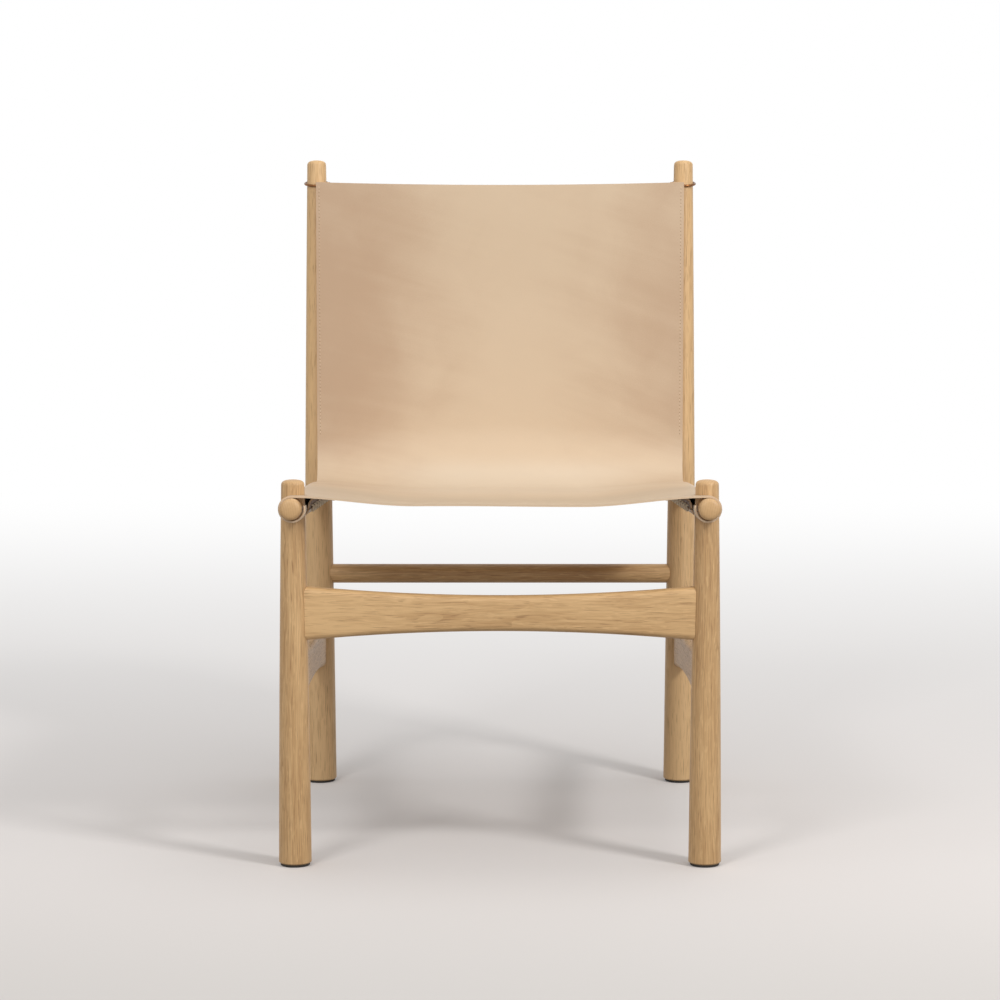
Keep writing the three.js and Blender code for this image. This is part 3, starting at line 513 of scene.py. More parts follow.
def in_post(point):
    offset = Vector((abs(point.x), point.y, point.z)) - post_foot
    distance = offset.dot(post_along)
    return (offset - post_along * distance).length < post_radius(distance) + JOINT_GAP


def leaving(inside, start, direction):
    """How far a line runs before it comes out of the turned piece it starts in."""
    low, high = 0.0, COPE_REACH
    for _ in range(COPE_TRIES):
        middle = (low + high) / 2
        if inside(start + direction * middle):
            low = middle
        else:
            high = middle
    return high


def round_section(start, along, radius, sides=ROUND_SIDES // 2):
    """A ring of starting points about a line, turning with it."""
    side = UP.cross(along) if abs(along.z) < UPRIGHT else Vector((1, 0, 0))
    side.normalize()
    rise = along.cross(side)
    turns = [2 * math.pi * step / sides for step in range(sides)]
    return [start + (side * math.cos(a) + rise * math.sin(a)) * radius for a in turns]


def coped_rod(start, end, radius, near, far):
    """A round bar whose ends are shaped to the turned pieces they meet."""
    along = (end - start).normalized()
    length = (end - start).length
    section = round_section(start, along, radius)
    first = [point + along * leaving(near, point, along) for point in section]
    reach = [length - leaving(far, point + along * length, -along) for point in section]
    last = [point + along * far_end for point, far_end in zip(section, reach)]
    return skin([first, last])


rail_tangent = math.tan(POST_LEAN)
rail_span = (post_foot.y - FRONT_Y + RAIL_Z * rail_tangent) / (
    math.cos(RAIL_SLOPE) + math.sin(RAIL_SLOPE) * rail_tangent
)
knob_section = round_section(rail_start, -rail_along, RAIL_R)
knob_rows = [[point - rail_along * leaving(in_leg, point, -rail_along) for point in knob_section]]
for reach, forward in dome(RAIL_R, KNOB_REACH - DOME_HEIGHT):
    middle = rail_start - rail_along * forward
    knob_rows.append([middle + (point - rail_start) * (reach / RAIL_R) for point in knob_section])
rail_points, rail_faces = coped_rod(rail_start, on_rail(0, 0, rail_span), RAIL_R, in_leg, in_post)
knob_points, knob_faces = skin(knob_rows)
rail = mesh_piece("seat_rail_right_oak", rail_points, rail_faces, None)
knob = mesh_piece("rail_knob_right_oak", knob_points, knob_faces, None)
for made in (rail, knob):
    made.data.set_sharp_from_angle(angle=SHARP_EDGE)
for order, (side, sign) in enumerate(SIDES):
    start = Vector((SIDE_X * sign, FRONT_Y, RAIL_Z))
    wood = oak(f"oak_seat_rail_{side}", start, start + rail_along, order + 5, pith=(0.06 * sign, 0.01, 0))
    for node, made in (("seat_rail", rail), ("rail_knob", knob)):
        if sign < 0:
            made = mirrored(made, f"{node}_left_oak", wood)
        else:
            made.data.materials[0] = wood
        keep(made, "oak", f"{node}_{side}")

# Stretchers: three arched oak boards with rounded edges, lower at the sides than at the front, and a
# round one at the back, painted darker in its middle as shade from the seat above. Each is shouldered to
# the round of the leg or post and tenoned into it.
BOARD_THICKNESS = 0.019
BOARD_ROUND = 0.007
BOARD_ROUND_STEPS = 8
BOARD_STATIONS = 64
BOARD_END_HEIGHT = 0.061
FRONT_WAIST = 0.0405
SIDE_WAIST = 0.040
FRONT_STRETCHER_Z = 0.291
SIDE_STRETCHER_FRONT_Z = 0.213
SIDE_STRETCHER_REAR_Z = 0.178
REAR_STRETCHER_Z = 0.267
REAR_STRETCHER_R = 0.01225
SEAT_SHADE_REACH = (0.11, 0.20)
SHADED_PALENESS = 0.12
LIT_PALENESS = 0.6

arched_board, board_in, board_out = new_group(
    "arched_board",
    "GeometryNodeTree",
    (
        ("End Height", "NodeSocketFloat", BOARD_END_HEIGHT),
        ("Waist Height", "NodeSocketFloat", SIDE_WAIST),
        ("Thickness", "NodeSocketFloat", BOARD_THICKNESS),
        ("Edge Round", "NodeSocketFloat", BOARD_ROUND),
        ("Stations", "NodeSocketInt", BOARD_STATIONS),
        ("Material", "NodeSocketMaterial", None),
    ),
    (("Geometry", "NodeSocketGeometry"),),
)
board_line = add(arched_board, "GeometryNodeCurvePrimitiveLine", {"Start": (0, 0, 0), "End": (0, 0, 1)})
board_line = add(
    arched_board,
    "GeometryNodeResampleCurve",
    {"Curve": board_line.outputs[0], "Count": board_in["Stations"]},
)
board_section = add(
    arched_board,
    "GeometryNodeCurvePrimitiveQuadrilateral",
    {"Width": board_in["Thickness"], "Height": board_in["End Height"]},
)
board_section = add(
    arched_board,
    "GeometryNodeFilletCurve",
    {
        "Curve": board_section.outputs[0],
        "Count": BOARD_ROUND_STEPS,
        "Radius": board_in["Edge Round"],
        "Limit Radius": True,
    },
    mode="POLY",
)
board_skin = add(
    arched_board,
    "GeometryNodeCurveToMesh",
    {"Curve": board_line.outputs[0], "Profile Curve": board_section.outputs[0], "Fill Caps": True},
)
board_place = add(arched_board, "GeometryNodeInputPosition").outputs[0]
board_place = add(arched_board, "ShaderNodeSeparateXYZ", {0: board_place}).outputs
board_share = number(arched_board, "MULTIPLY_ADD", board_place["Z"], 2.0, -1.0)
board_arch = number(arched_board, "SUBTRACT", 1.0, number(arched_board, "POWER", board_share, 2.0))
board_cut = number(arched_board, "SUBTRACT", board_in["End Height"], board_in["Waist Height"])
board_cut = number(arched_board, "MULTIPLY", number(arched_board, "MULTIPLY", board_cut, 0.5), board_arch)
board_edge = number(arched_board, "SIGN", board_place["Y"])
board_shift = number(arched_board, "MULTIPLY", board_cut, board_edge)
board_shift = number(arched_board, "MULTIPLY", board_shift, -1.0)
board_shift = add(arched_board, "ShaderNodeCombineXYZ", {"Y": board_shift})
board_shaped = add(
    arched_board,
    "GeometryNodeSetPosition",
    {"Geometry": board_skin.outputs[0], "Offset": board_shift.outputs[0]},
)
board_whole = add(arched_board, "GeometryNodeRealizeInstances", {"Geometry": board_shaped.outputs[0]})
board_whole = add(
    arched_board,
    "GeometryNodeSetMaterial",
    {"Geometry": board_whole.outputs[0], "Material": board_in["Material"]},
)
arched_board.links.new(board_whole.outputs[0], board_out.inputs[0])


def grown(name, tree, values, lines=(), normals=()):
    """The plain mesh a node tree makes from its inputs and, if it needs them, lines of points."""
    points, edges = [], []
    for line in lines:
        edges += [(len(points) + step, len(points) + step + 1) for step in range(len(line) - 1)]
        points += line
    mesh = bpy.data.meshes.new(name)
    mesh.from_pydata([tuple(point) for point in points], edges, [])
    if normals:
        facing = mesh.attributes.new("facing", "FLOAT_VECTOR", "POINT")
        facing.data.foreach_set("vector", np.array(normals, dtype=np.float32).ravel())
    host = bpy.data.objects.new(f"{name}_host", mesh)
    bpy.context.scene.collection.objects.link(host)
    modifier = host.modifiers.new("tree", "NODES")
    modifier.node_group = tree
    for item in tree.interface.items_tree:
        if item.in_out == "INPUT" and item.name in values:
            modifier[item.identifier] = values[item.name]
    host.update_tag()
    made = plain(host, name)
    made.data.shade_smooth()
    return made


def stretcher(name, start, end, waist, near, far, material):
    """An arched board between two axis points, its ends shaped to what it meets."""
    along = (end - start).normalized()
    length = (end - start).length
    rise = (UP - along * UP.dot(along)).normalized()
    side = along.cross(rise)
    values = {
        "End Height": BOARD_END_HEIGHT,
        "Waist Height": waist,
        "Thickness": BOARD_THICKNESS,
        "Edge Round": BOARD_ROUND,
        "Stations": BOARD_STATIONS,
        "Material": material,
    }
    board = grown(f"{name}_oak", arched_board, values)
    for vertex in board.data.vertices:
        across, up, share = vertex.co
        origin = start + side * across + rise * up
        first = leaving(near, origin, along)
        last = length - leaving(far, origin + along * length, -along)
        vertex.co = origin + along * (first + (last - first) * share)
    board.data.flip_normals()
    board.data.set_sharp_from_angle(angle=SHARP_EDGE)
    keep(board, "oak", name)


leg_left = Vector((-SIDE_X, FRONT_Y, FRONT_STRETCHER_Z))
leg_right = Vector((SIDE_X, FRONT_Y, FRONT_STRETCHER_Z))
wood = oak(
    "oak_front_stretcher",
    leg_left,
    leg_right,
    7,
    pith=(0.012, 0.055, 0),
    ring_width=0.0034,
    paleness=0.68,
)
stretcher("front_stretcher", leg_left, leg_right, FRONT_WAIST, in_leg, in_leg, wood)
for order, (side, sign) in enumerate(SIDES):
    front_end = Vector((SIDE_X * sign, FRONT_Y, SIDE_STRETCHER_FRONT_Z))
    rear_end = on_post(SIDE_STRETCHER_REAR_Z)
    rear_end.x *= sign
    wood = oak(
        f"oak_side_stretcher_{side}",
        front_end,
        rear_end,
        order + 8,
        pith=(0.01, 0.05, 0),
        ring_width=0.003,
    )
    stretcher(f"side_stretcher_{side}", front_end, rear_end, SIDE_WAIST, in_leg, in_post, wood)

post_right = on_post(REAR_STRETCHER_Z)
post_left = Vector((-post_right.x, post_right.y, post_right.z))
wood = oak("oak_rear_stretcher", post_left, post_right, 10, pith=(0.05, 0.02, 0))
wood_tree = wood.node_tree
# Painted shade: the rear stretcher is coloured darker in its middle, where the seat shades it
off_middle = add(wood_tree, "ShaderNodeTexCoord").outputs["Object"]
off_middle = add(wood_tree, "ShaderNodeSeparateXYZ", {0: off_middle}).outputs["X"]
off_middle = number(wood_tree, "ABSOLUTE", off_middle)
painted_seat_shade = ramp(wood_tree, off_middle, *SEAT_SHADE_REACH, SHADED_PALENESS, LIT_PALENESS)
grain_node = next(node for node in wood_tree.nodes if node.type == "GROUP")
wood_tree.links.new(painted_seat_shade, grain_node.inputs["Paleness"])
points, faces = coped_rod(post_left, post_right, REAR_STRETCHER_R, in_post, in_post)
rear_stretcher = mesh_piece("rear_stretcher_oak", points, faces, wood)
rear_stretcher.data.set_sharp_from_angle(angle=SHARP_EDGE)
keep(rear_stretcher, "oak", "rear_stretcher")

# Glides: dark nylon discs under the feet, a little smaller than the wood so that they hardly show. Each
# is pressed into its foot by a pin.
GLIDE_CHAMFER = 0.0008
GLIDE_COLOUR = linear(38, 31, 24)
GLIDE_ROUGHNESS = (0.5, 0.75)
SCUFF_WAVES = (420, 420, 420)
SCUFF_LIMITS = (0.3, 0.7)

nylon, nylon_tree = bare_material("glide_nylon")
nylon_place = add(nylon_tree, "ShaderNodeTexCoord").outputs["Object"]
scuff = noise(nylon_tree, nylon_place, SCUFF_WAVES, detail=3.0).outputs[0]
scuff = ramp(nylon_tree, scuff, *SCUFF_LIMITS, *GLIDE_ROUGHNESS)
nylon_shader = nylon_tree.nodes["Principled BSDF"]
nylon_shader.inputs["Base Color"].default_value = GLIDE_COLOUR
nylon_tree.links.new(scuff, nylon_shader.inputs["Roughness"])
for side, _ in SIDES:
    for end in ("front", "rear"):
        low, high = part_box(f"{end}_glide_{side}")
        radius = (high.x - low.x) / 2
        middle = Vector(((low.x + high.x) / 2, (low.y + high.y) / 2, 0))
        profile = ((radius - GLIDE_CHAMFER, 0), (radius, GLIDE_CHAMFER), (radius, FOOT_Z - JOINT_GAP))
        points, faces = skin([[point + middle for point in ring(*level)] for level in profile])
        glide = mesh_piece(f"{end}_glide_{side}_nylon", points, faces, nylon)
        glide.data.set_sharp_from_angle(angle=SHARP_CUT)
        keep(glide, "glide", f"{end}_glide_{side}")

# Sling: one piece of natural vegetable-tanned leather, with a painted sheen paler in the bend and painted
# shade deeper at the front.
# It hangs from the posts, bends into the seat and wraps each rail, with a strap round the knob, a notch
# at the leg and a flap laced underneath.
LEATHER = 0.002
SLING_TOP_DIP = 0.0035
SLING_FRONT = 0.036
BEND_RADIUS_EDGE = 0.060
BEND_RADIUS_MIDDLE = 0.080
HANG = ((0, 0), (0.5, 0.006), (1, 0.006), (2, 0.008), (2.5, 0.016), (3, 0.010))
SAG_SPREAD = 0.6
FLAP_GAP = 0.0003
FLAP_START = math.pi / 2
STRAP = {"start": math.radians(180), "end": math.radians(374), "flare": 0.002}
WRAP = {"start": math.radians(300), "end": math.radians(350), "flare": 0.0032}
LEG_NOTCH_GAP = 0.0016
FLAP_REAR_MARGIN = 0.002
FLAP_STEPS = 46
LACE_HOLE_R = 0.0016
LACE_HOLE_ANGLE = math.radians(340)
LACE_PITCH = 0.048
LACE_FIRST = 0.016
EDGE_ZONE = 0.85
EDGE_COLUMNS = 15
MIDDLE_COLUMNS = 61
BACK_ROWS = 60
BEND_ROWS = 36
SEAT_ROWS = 72
NOTCH_ROWS = 27
STRAP_ROWS = 9
WAVINESS = 0.0003
WAVE_COUNT = 6
WAVE_SEED = 11
WAVE_ACROSS = 7
WAVE_DOWN = 4
WAVE_START = 3
WAVE_TURN = (1.4, 2.2)
TOUCH = 1e-6


def smooth(value, low, high):
    share = min(max((value - low) / (high - low), 0), 1)
    return share * share * (3 - 2 * share)


def mix(first, second, share):
    return first + (second - first) * share


# Side view of the leather as (y, z) lines, one down the posts and one along the rails
back_up = Vector((groove_along.y, groove_along.z)).normalized()
back_away = Vector((back_up.y, -back_up.x))
back_foot = Vector((groove_start.y, groove_start.z)) - back_away * (POST_STANDOFF + LEATHER / 2)
seat_forward = -Vector((rail_along.y, rail_along.z))
seat_away = -Vector((rail_up.y, rail_up.z))
seat_lift = RAIL_R + FLAP_GAP + LEATHER / 2
seat_foot = Vector((FRONT_Y, RAIL_Z)) - seat_away * seat_lift
to_corner = (seat_foot - back_foot).cross(seat_forward) / back_up.cross(seat_forward)
corner = back_foot + back_up * to_corner
corner_angle = math.acos(back_up.dot(seat_forward))
corner_rearward = (seat_foot - corner).dot(seat_forward)
back_reach = (SLING_TOP_Z - corner.y) / back_up.y
seat_reach = corner_rearward + SLING_FRONT


def arching(u):
    return 1 - u * u


def bend_radius(u):
    return BEND_RADIUS_EDGE + (BEND_RADIUS_MIDDLE - BEND_RADIUS_EDGE) * arching(u)


def bend_tangent(u):
    return bend_radius(u) / math.tan(corner_angle / 2)


def hang(u, station):
    """How far the leather hangs away from the straight line between its edges."""
    depth = 0
    for (start, low), (end, high) in zip(HANG, HANG[1:]):
        if start <= station <= end:
            depth = mix(low, high, smooth(station, start, end))
    in_back, in_seat = arching(u) ** 2, smooth(1 - abs(u), 0, SAG_SPREAD)
    return depth * mix(in_back, in_seat, smooth(station, 1, 2))


def panel_point(u, station):
    """A point of the leather's middle: u from -1 to 1 across, stations from 0 at the top through the
    bend between 1 and 2 to 3 at the front."""
    tangent = bend_tangent(u)
    if station <= 1:
        top = back_reach - SLING_TOP_DIP * arching(u)
        place, away = corner + back_up * mix(top, tangent, station), back_away
    elif station < 2:
        inward = (back_away + seat_away).normalized()
        centre = corner - inward * (bend_radius(u) / math.sin(corner_angle / 2))
        turn = -(math.pi - corner_angle) * (station - 1)
        away = Matrix.Rotation(turn, 2) @ back_away
        place = centre + away * bend_radius(u)
    else:
        place, away = corner + seat_forward * mix(tangent, seat_reach, station - 2), seat_away
    edge = mix(on_post(place.y).x, SIDE_X, smooth(station, 1, 2))
    place = place + away * hang(u, station)
    return Vector((u * edge, place.x, place.y))


leg_notch = leg_radius(RAIL_Z) + LEG_NOTCH_GAP
edge_start = corner_rearward - bend_tangent(1)
flap_rear = edge_start - FLAP_REAR_MARGIN


def flap_radius(angle, wrap):
    """Inner radius of a strap or flap at an angle round the rail, opening towards its end."""
    return RAIL_R + FLAP_GAP + wrap["flare"] * smooth(angle, wrap["start"], wrap["end"])


def edge_station(rearward):
    """The station at which the seat's side edge is this far behind the front leg."""
    return 2 + (edge_start - rearward) / (edge_start + SLING_FRONT)


notch_turns = np.linspace(math.pi / 2, -math.pi / 2, NOTCH_ROWS)
seat_edge = [
    *np.linspace(flap_rear, leg_notch, SEAT_ROWS),
    *[leg_notch * math.sin(turn) for turn in notch_turns[1:-1]],
    *np.linspace(-leg_notch, -SLING_FRONT, STRAP_ROWS),
]
stations = [
    *np.linspace(0, 1, BACK_ROWS)[:-1],
    *np.linspace(1, 2, BEND_ROWS),
    *[edge_station(rearward) for rearward in seat_edge],
]
first_flap_row = len(stations) - len(seat_edge)
edge_columns = np.linspace(EDGE_ZONE, 1, EDGE_COLUMNS)[1:]
columns = [*(-edge_columns[::-1]), *np.linspace(-EDGE_ZONE, EDGE_ZONE, MIDDLE_COLUMNS), *edge_columns]
width = len(columns)
waves = np.random.default_rng(WAVE_SEED).uniform(-1, 1, (WAVE_COUNT, 4))


def unevenness(u, station):
    """The hide's own slight waves, none at its edges."""
    swell = 0
    for height, across, down, start in waves:
        turn = WAVE_ACROSS * across * u + WAVE_DOWN * down * station + WAVE_START * start
        swell += height * math.sin(turn)
    return WAVINESS * swell * arching(u)


sling_points, sling_uv, sling_faces = [], [], []
walked = 0.0
for row, station in enumerate(stations):
    if row:
        walked += (panel_point(0, station) - panel_point(0, stations[row - 1])).length
    rearward = seat_edge[row - first_flap_row] if row >= first_flap_row else None
    notch = 0.0
    if rearward is not None and abs(rearward) < leg_notch:
        notch = math.sqrt(leg_notch**2 - rearward**2) / SIDE_X
    for u in columns:
        beyond = max(abs(u) - EDGE_ZONE, 0) / (1 - EDGE_ZONE)
        point = panel_point(u - math.copysign(notch * beyond, u), station)
        swell, seat_share = unevenness(u, station), smooth(station, *WAVE_TURN)
        point.y -= swell * (1 - seat_share)
        point.z += swell * seat_share
        sling_points.append(point)
        sling_uv.append((point.x, -walked))
for row in range(len(stations) - 1):
    for column in range(width - 1):
        at = row * width + column
        sling_faces.append((at, at + width, at + width + 1, at + 1))

for sign, column in ((1, width - 1), (-1, 0)):
    before = None
    for row in range(first_flap_row, len(stations)):
        rearward = seat_edge[row - first_flap_row]
        if abs(rearward) < leg_notch - TOUCH:
            before = None
            continue
        wrap = WRAP if rearward > 0 else STRAP
        turns = np.linspace(FLAP_START, wrap["end"], FLAP_STEPS + 1)
        line = [row * width + column]
        arc = 0.0
        for angle, last in zip(turns[1:], turns):
            radius = flap_radius(angle, wrap) + LEATHER / 2
            arc += radius * (angle - last)
            point = on_rail(radius * math.cos(angle), radius * math.sin(angle), rearward)
            point.x *= sign
            line.append(len(sling_points))
            sling_points.append(point)
            sling_uv.append((sign * (SIDE_X + arc), sling_uv[row * width][1]))
        if before:
            for a, b, c, d in zip(before, line, line[1:], before[1:]):
                sling_faces.append((a, b, c, d) if sign > 0 else (d, c, b, a))
        before = line

# Marks of the hide: waves in a metre, how much each shows, and where the painted shade of the sides,
# the painted sheen of the bend and the painted shade of the front lie on the flat sheet, sideways from
# its middle line and down from its top edge
MOTTLE_WAVES = (11, 11, 11)
LONG_STREAK_WAVES = (3, 26, 1)
FINE_STREAK_WAVES = (7, 90, 1)
SPECK_WAVES = (700, 700, 700)
NAP_WAVES = (1600, 1600, 1600)
GRAIN_CELLS = 1100.0
STREAK_SLANT = math.radians(17)
FINE_STREAK_SHOWS = 0.4
MOTTLE_SHOWS = 0.34
STREAKS_SHOW = 0.2
SPECK_SHOWS = 0.15
TONE_REACH = 0.9
LEFT_SHADE = (0.06, -0.24)
RIGHT_SHADE = (-0.02, 0.25)
LEFT_SHADE_DEPTH = 1.25
RIGHT_SHADE_DEPTH = 0.9
SHADE_CURVE = 1.4
SHADE_ABOVE_SEAT = (-0.41, -0.22, 0.35, 1.0)
SHADE_BELOW_TOP = (-0.16, 0.0, 1.0, 0.7)
BEND_SHEEN_ABOVE = (-0.345, -0.39)
BEND_SHEEN_BELOW = (-0.62, -0.46, 0.0, 0.4)
BEND_SHEEN_MIDDLE = 0.02
BEND_SHEEN_SIDES = (0.23, 0.07)
FRONT_SHADE_SPAN = (-0.55, -0.66, 0.0, 0.6)
CELL_HEIGHT = 0.7
SPECK_HEIGHT = 0.4
HIDE_ROUGHNESS = 0.5
MOTTLE_ROUGHNESS = -0.12
SPECK_ROUGHNESS = 0.1
NAP_ROUGHNESS = 0.3
HIDE_RELIEF = 0.3
HIDE_RELIEF_DEPTH = 0.0003
HIDE_SHEEN = 0.4


def product(tree, first, *others):
    for other in others:
        first = number(tree, "MULTIPLY", first, other)
    return first


leather_hide, hide_in, hide_out = new_group(
    "leather_hide",
    "ShaderNodeTree",
    (
        ("Vector", "NodeSocketVector", None),
        ("Base", "NodeSocketColor", linear(214, 186, 156)),
        ("Pale", "NodeSocketColor", linear(232, 209, 182)),
        ("Deep", "NodeSocketColor", linear(190, 156, 122)),
        ("Streaks", "NodeSocketFloat", 1.0),
        ("Nap", "NodeSocketFloat", 0.0),
        ("Painted Side Shade", "NodeSocketFloat", 0.0),
        ("Painted Sheen And Shade", "NodeSocketFloat", 0.0),
        ("Painted Bend Sheen", "NodeSocketColor", linear(224, 210, 190)),
        ("Painted Front Shade", "NodeSocketColor", linear(190, 170, 145)),
    ),
    (
        ("Color", "NodeSocketColor"),
        ("Roughness", "NodeSocketFloat"),
        ("Height", "NodeSocketFloat"),
    ),
)
slanted = add(
    leather_hide,
    "ShaderNodeMapping",
    {"Vector": hide_in["Vector"], "Rotation": (0, 0, STREAK_SLANT)},
).outputs[0]
mottle = noise(leather_hide, hide_in["Vector"], MOTTLE_WAVES, detail=4.0, distortion=0.6).outputs[0]
long_streak = noise(leather_hide, slanted, LONG_STREAK_WAVES, detail=2.0, distortion=0.3).outputs[0]
fine_streak = noise(leather_hide, slanted, FINE_STREAK_WAVES, detail=1.0, distortion=0.2).outputs[0]
cell = add(
    leather_hide,
    "ShaderNodeTexVoronoi",
    {"Vector": hide_in["Vector"], "Scale": GRAIN_CELLS, "Randomness": 1.0},
    feature="SMOOTH_F1",
).outputs["Distance"]
speck = noise(leather_hide, hide_in["Vector"], SPECK_WAVES, detail=3.0).outputs[0]
streaks = tone_sum(leather_hide, 0.0, (long_streak, 1.0), (fine_streak, FINE_STREAK_SHOWS))
streaks = number(leather_hide, "MULTIPLY_ADD", streaks, hide_in["Streaks"], MIDDLE_TONE)
hide_tone = tone_sum(
    leather_hide,
    MIDDLE_TONE,
    (mottle, MOTTLE_SHOWS),
    (streaks, STREAKS_SHOW),
    (speck, SPECK_SHOWS),
)
# Painted shade: the sheet darkens towards both sides, more on the left, and less in the bend and seat
on_sheet = add(leather_hide, "ShaderNodeSeparateXYZ", {0: hide_in["Vector"]}).outputs
leftward = number(leather_hide, "POWER", ramp(leather_hide, on_sheet["X"], *LEFT_SHADE), SHADE_CURVE)
rightward = number(leather_hide, "POWER", ramp(leather_hide, on_sheet["X"], *RIGHT_SHADE), SHADE_CURVE)
leftward = number(leather_hide, "MULTIPLY", leftward, LEFT_SHADE_DEPTH)
shade = product(
    leather_hide,
    number(leather_hide, "MULTIPLY_ADD", rightward, RIGHT_SHADE_DEPTH, leftward),
    ramp(leather_hide, on_sheet["Y"], *SHADE_ABOVE_SEAT),
    ramp(leather_hide, on_sheet["Y"], *SHADE_BELOW_TOP),
    hide_in["Painted Side Shade"],
)
hide_tone = number(leather_hide, "SUBTRACT", hide_tone, shade)
darker = ramp(leather_hide, hide_tone, MIDDLE_TONE, 0.0, 0.0, TONE_REACH)
paler = ramp(leather_hide, hide_tone, MIDDLE_TONE, 1.0, 0.0, TONE_REACH)
# Painted sheen: the middle of the bend is tinted paler and greyer, as light glancing off it
off_middle = number(leather_hide, "SUBTRACT", on_sheet["X"], BEND_SHEEN_MIDDLE)
off_middle = number(leather_hide, "ABSOLUTE", off_middle)
painted_bend_sheen = product(
    leather_hide,
    ramp(leather_hide, on_sheet["Y"], *BEND_SHEEN_ABOVE),
    ramp(leather_hide, on_sheet["Y"], *BEND_SHEEN_BELOW),
    ramp(leather_hide, off_middle, *BEND_SHEEN_SIDES),
    hide_in["Painted Sheen And Shade"],
)
# Painted shade: the seat darkens towards its front edge
painted_front_shade = product(leather_hide, ramp(leather_hide, on_sheet["Y"], *FRONT_SHADE_SPAN), hide_in["Painted Sheen And Shade"])
hide_colour = tint(leather_hide, darker, hide_in["Base"], hide_in["Deep"])
hide_colour = tint(leather_hide, paler, hide_colour, hide_in["Pale"])
hide_colour = tint(leather_hide, painted_bend_sheen, hide_colour, hide_in["Painted Bend Sheen"])
hide_colour = tint(leather_hide, painted_front_shade, hide_colour, hide_in["Painted Front Shade"])
nap_height = noise(leather_hide, hide_in["Vector"], NAP_WAVES, detail=4.0).outputs[0]
hide_height = tone_sum(leather_hide, MIDDLE_TONE, (cell, CELL_HEIGHT), (speck, SPECK_HEIGHT))
nap_height = number(leather_hide, "SUBTRACT", nap_height, hide_height)
hide_height = number(leather_hide, "MULTIPLY_ADD", nap_height, hide_in["Nap"], hide_height)
hide_rough = tone_sum(leather_hide, HIDE_ROUGHNESS, (mottle, MOTTLE_ROUGHNESS), (speck, SPECK_ROUGHNESS))
hide_rough = number(leather_hide, "MULTIPLY_ADD", hide_in["Nap"], NAP_ROUGHNESS, hide_rough)
leather_hide.links.new(hide_colour, hide_out.inputs["Color"])
leather_hide.links.new(hide_rough, hide_out.inputs["Roughness"])
leather_hide.links.new(hide_height, hide_out.inputs["Height"])


def leather(name, base, pale, deep, streaks, nap, painted_side_shade=0.0, painted_sheen_and_shade=0.0, by_uv=False):
    """Natural leather: smooth grain side without nap, fibrous flesh side or cut edge with it."""
    material, tree = bare_material(name)
    inputs = {
        "Vector": add(tree, "ShaderNodeTexCoord").outputs["UV" if by_uv else "Object"],
        "Base": base,
        "Pale": pale,
        "Deep": deep,
        "Streaks": streaks,
        "Nap": nap,
        "Painted Side Shade": painted_side_shade,
        "Painted Sheen And Shade": painted_sheen_and_shade,
    }
    hide = add(tree, "ShaderNodeGroup", inputs, node_tree=leather_hide).outputs
    shader = surface(
        tree, hide["Color"], hide["Roughness"], hide["Height"], HIDE_RELIEF, HIDE_RELIEF_DEPTH
    )
    shader.inputs["Specular IOR Level"].default_value = HIDE_SHEEN
    return material


def thickened(sheet, thickness):
    """Both faces and the rim of a sheet, each in its own material."""
    thick = sheet.modifiers.new("thickness", "SOLIDIFY")
    thick.thickness = thickness
    thick.offset = 0
    thick.use_even_offset = True
    thick.material_offset = 1
    thick.material_offset_rim = 2


# The grain side carries the painted shade of the sides, the painted sheen of the bend and the painted
# shade of the front
grain_side = leather(
    "leather_grain_side",
    base=linear(211, 187, 158),
    pale=linear(229, 209, 182),
    deep=linear(186, 155, 126),
    streaks=1.0,
    nap=0.0,
    painted_side_shade=0.42,
    painted_sheen_and_shade=1.0,
    by_uv=True,
)
flesh_side = leather(
    "leather_flesh_side",
    base=linear(206, 175, 141),
    pale=linear(221, 193, 161),
    deep=linear(182, 148, 114),
    streaks=0.0,
    nap=1.0,
    by_uv=True,
)
cut_edge = leather(
    "leather_cut_edge",
    base=linear(214, 188, 158),
    pale=linear(228, 205, 177),
    deep=linear(194, 164, 131),
    streaks=0.0,
    nap=1.0,
)

sling = mesh_piece("sling_sheet", sling_points, sling_faces, grain_side, flesh_side, cut_edge)
layer = sling.data.uv_layers.new(name="flat")
corners = [sling_uv[loop.vertex_index] for loop in sling.data.loops]
layer.data.foreach_set("uv", np.array(corners, dtype=np.float32).ravel())
thickened(sling, LEATHER)

STRIP_SHARE = 0.5
STRIP_INNER = 0.046
lace_front = leg_notch + LACE_FIRST
strip_rear = corner_rearward - bend_tangent(1 - STRIP_INNER / SIDE_X) - FLAP_REAR_MARGIN
lace_turns = range(math.floor((strip_rear - lace_front) / LACE_PITCH - STRIP_SHARE) + 1)


def rod_points(start, end, radius, sides=24):
    along = (end - start).normalized()
    section = round_section(start, along, radius, sides)
    return skin([section, [point + end - start for point in section]])


def drill(name, holes, *materials):
    """One tool of several round bars."""
    points, faces = [], []
    for start, end in holes:
        more_points, more_faces = rod_points(start, end, LACE_HOLE_R)
        faces += [tuple(index + len(points) for index in face) for face in more_faces]
        points += more_points
    return mesh_piece(name, points, faces, *materials)


def through_flap(reach, rearward):
    """A point in line with a lacing hole of the flap, this far from the rail's axis."""
    return on_rail(reach * math.cos(LACE_HOLE_ANGLE), reach * math.sin(LACE_HOLE_ANGLE), rearward)


flap_inside = flap_radius(LACE_HOLE_ANGLE, WRAP)
flap_holes = []
for turn in lace_turns:
    rearward = lace_front + turn * LACE_PITCH
    near, far = flap_inside - LEATHER, flap_inside + 2 * LEATHER
    flap_holes.append((through_flap(near, rearward), through_flap(far, rearward)))
flap_holes += [(MIRROR @ start, MIRROR @ end) for start, end in flap_holes]
sling = carved(sling, "sling_leather", drill("flap_drill", flap_holes, cut_edge))
keep(sling, "sling_leather", "sling")

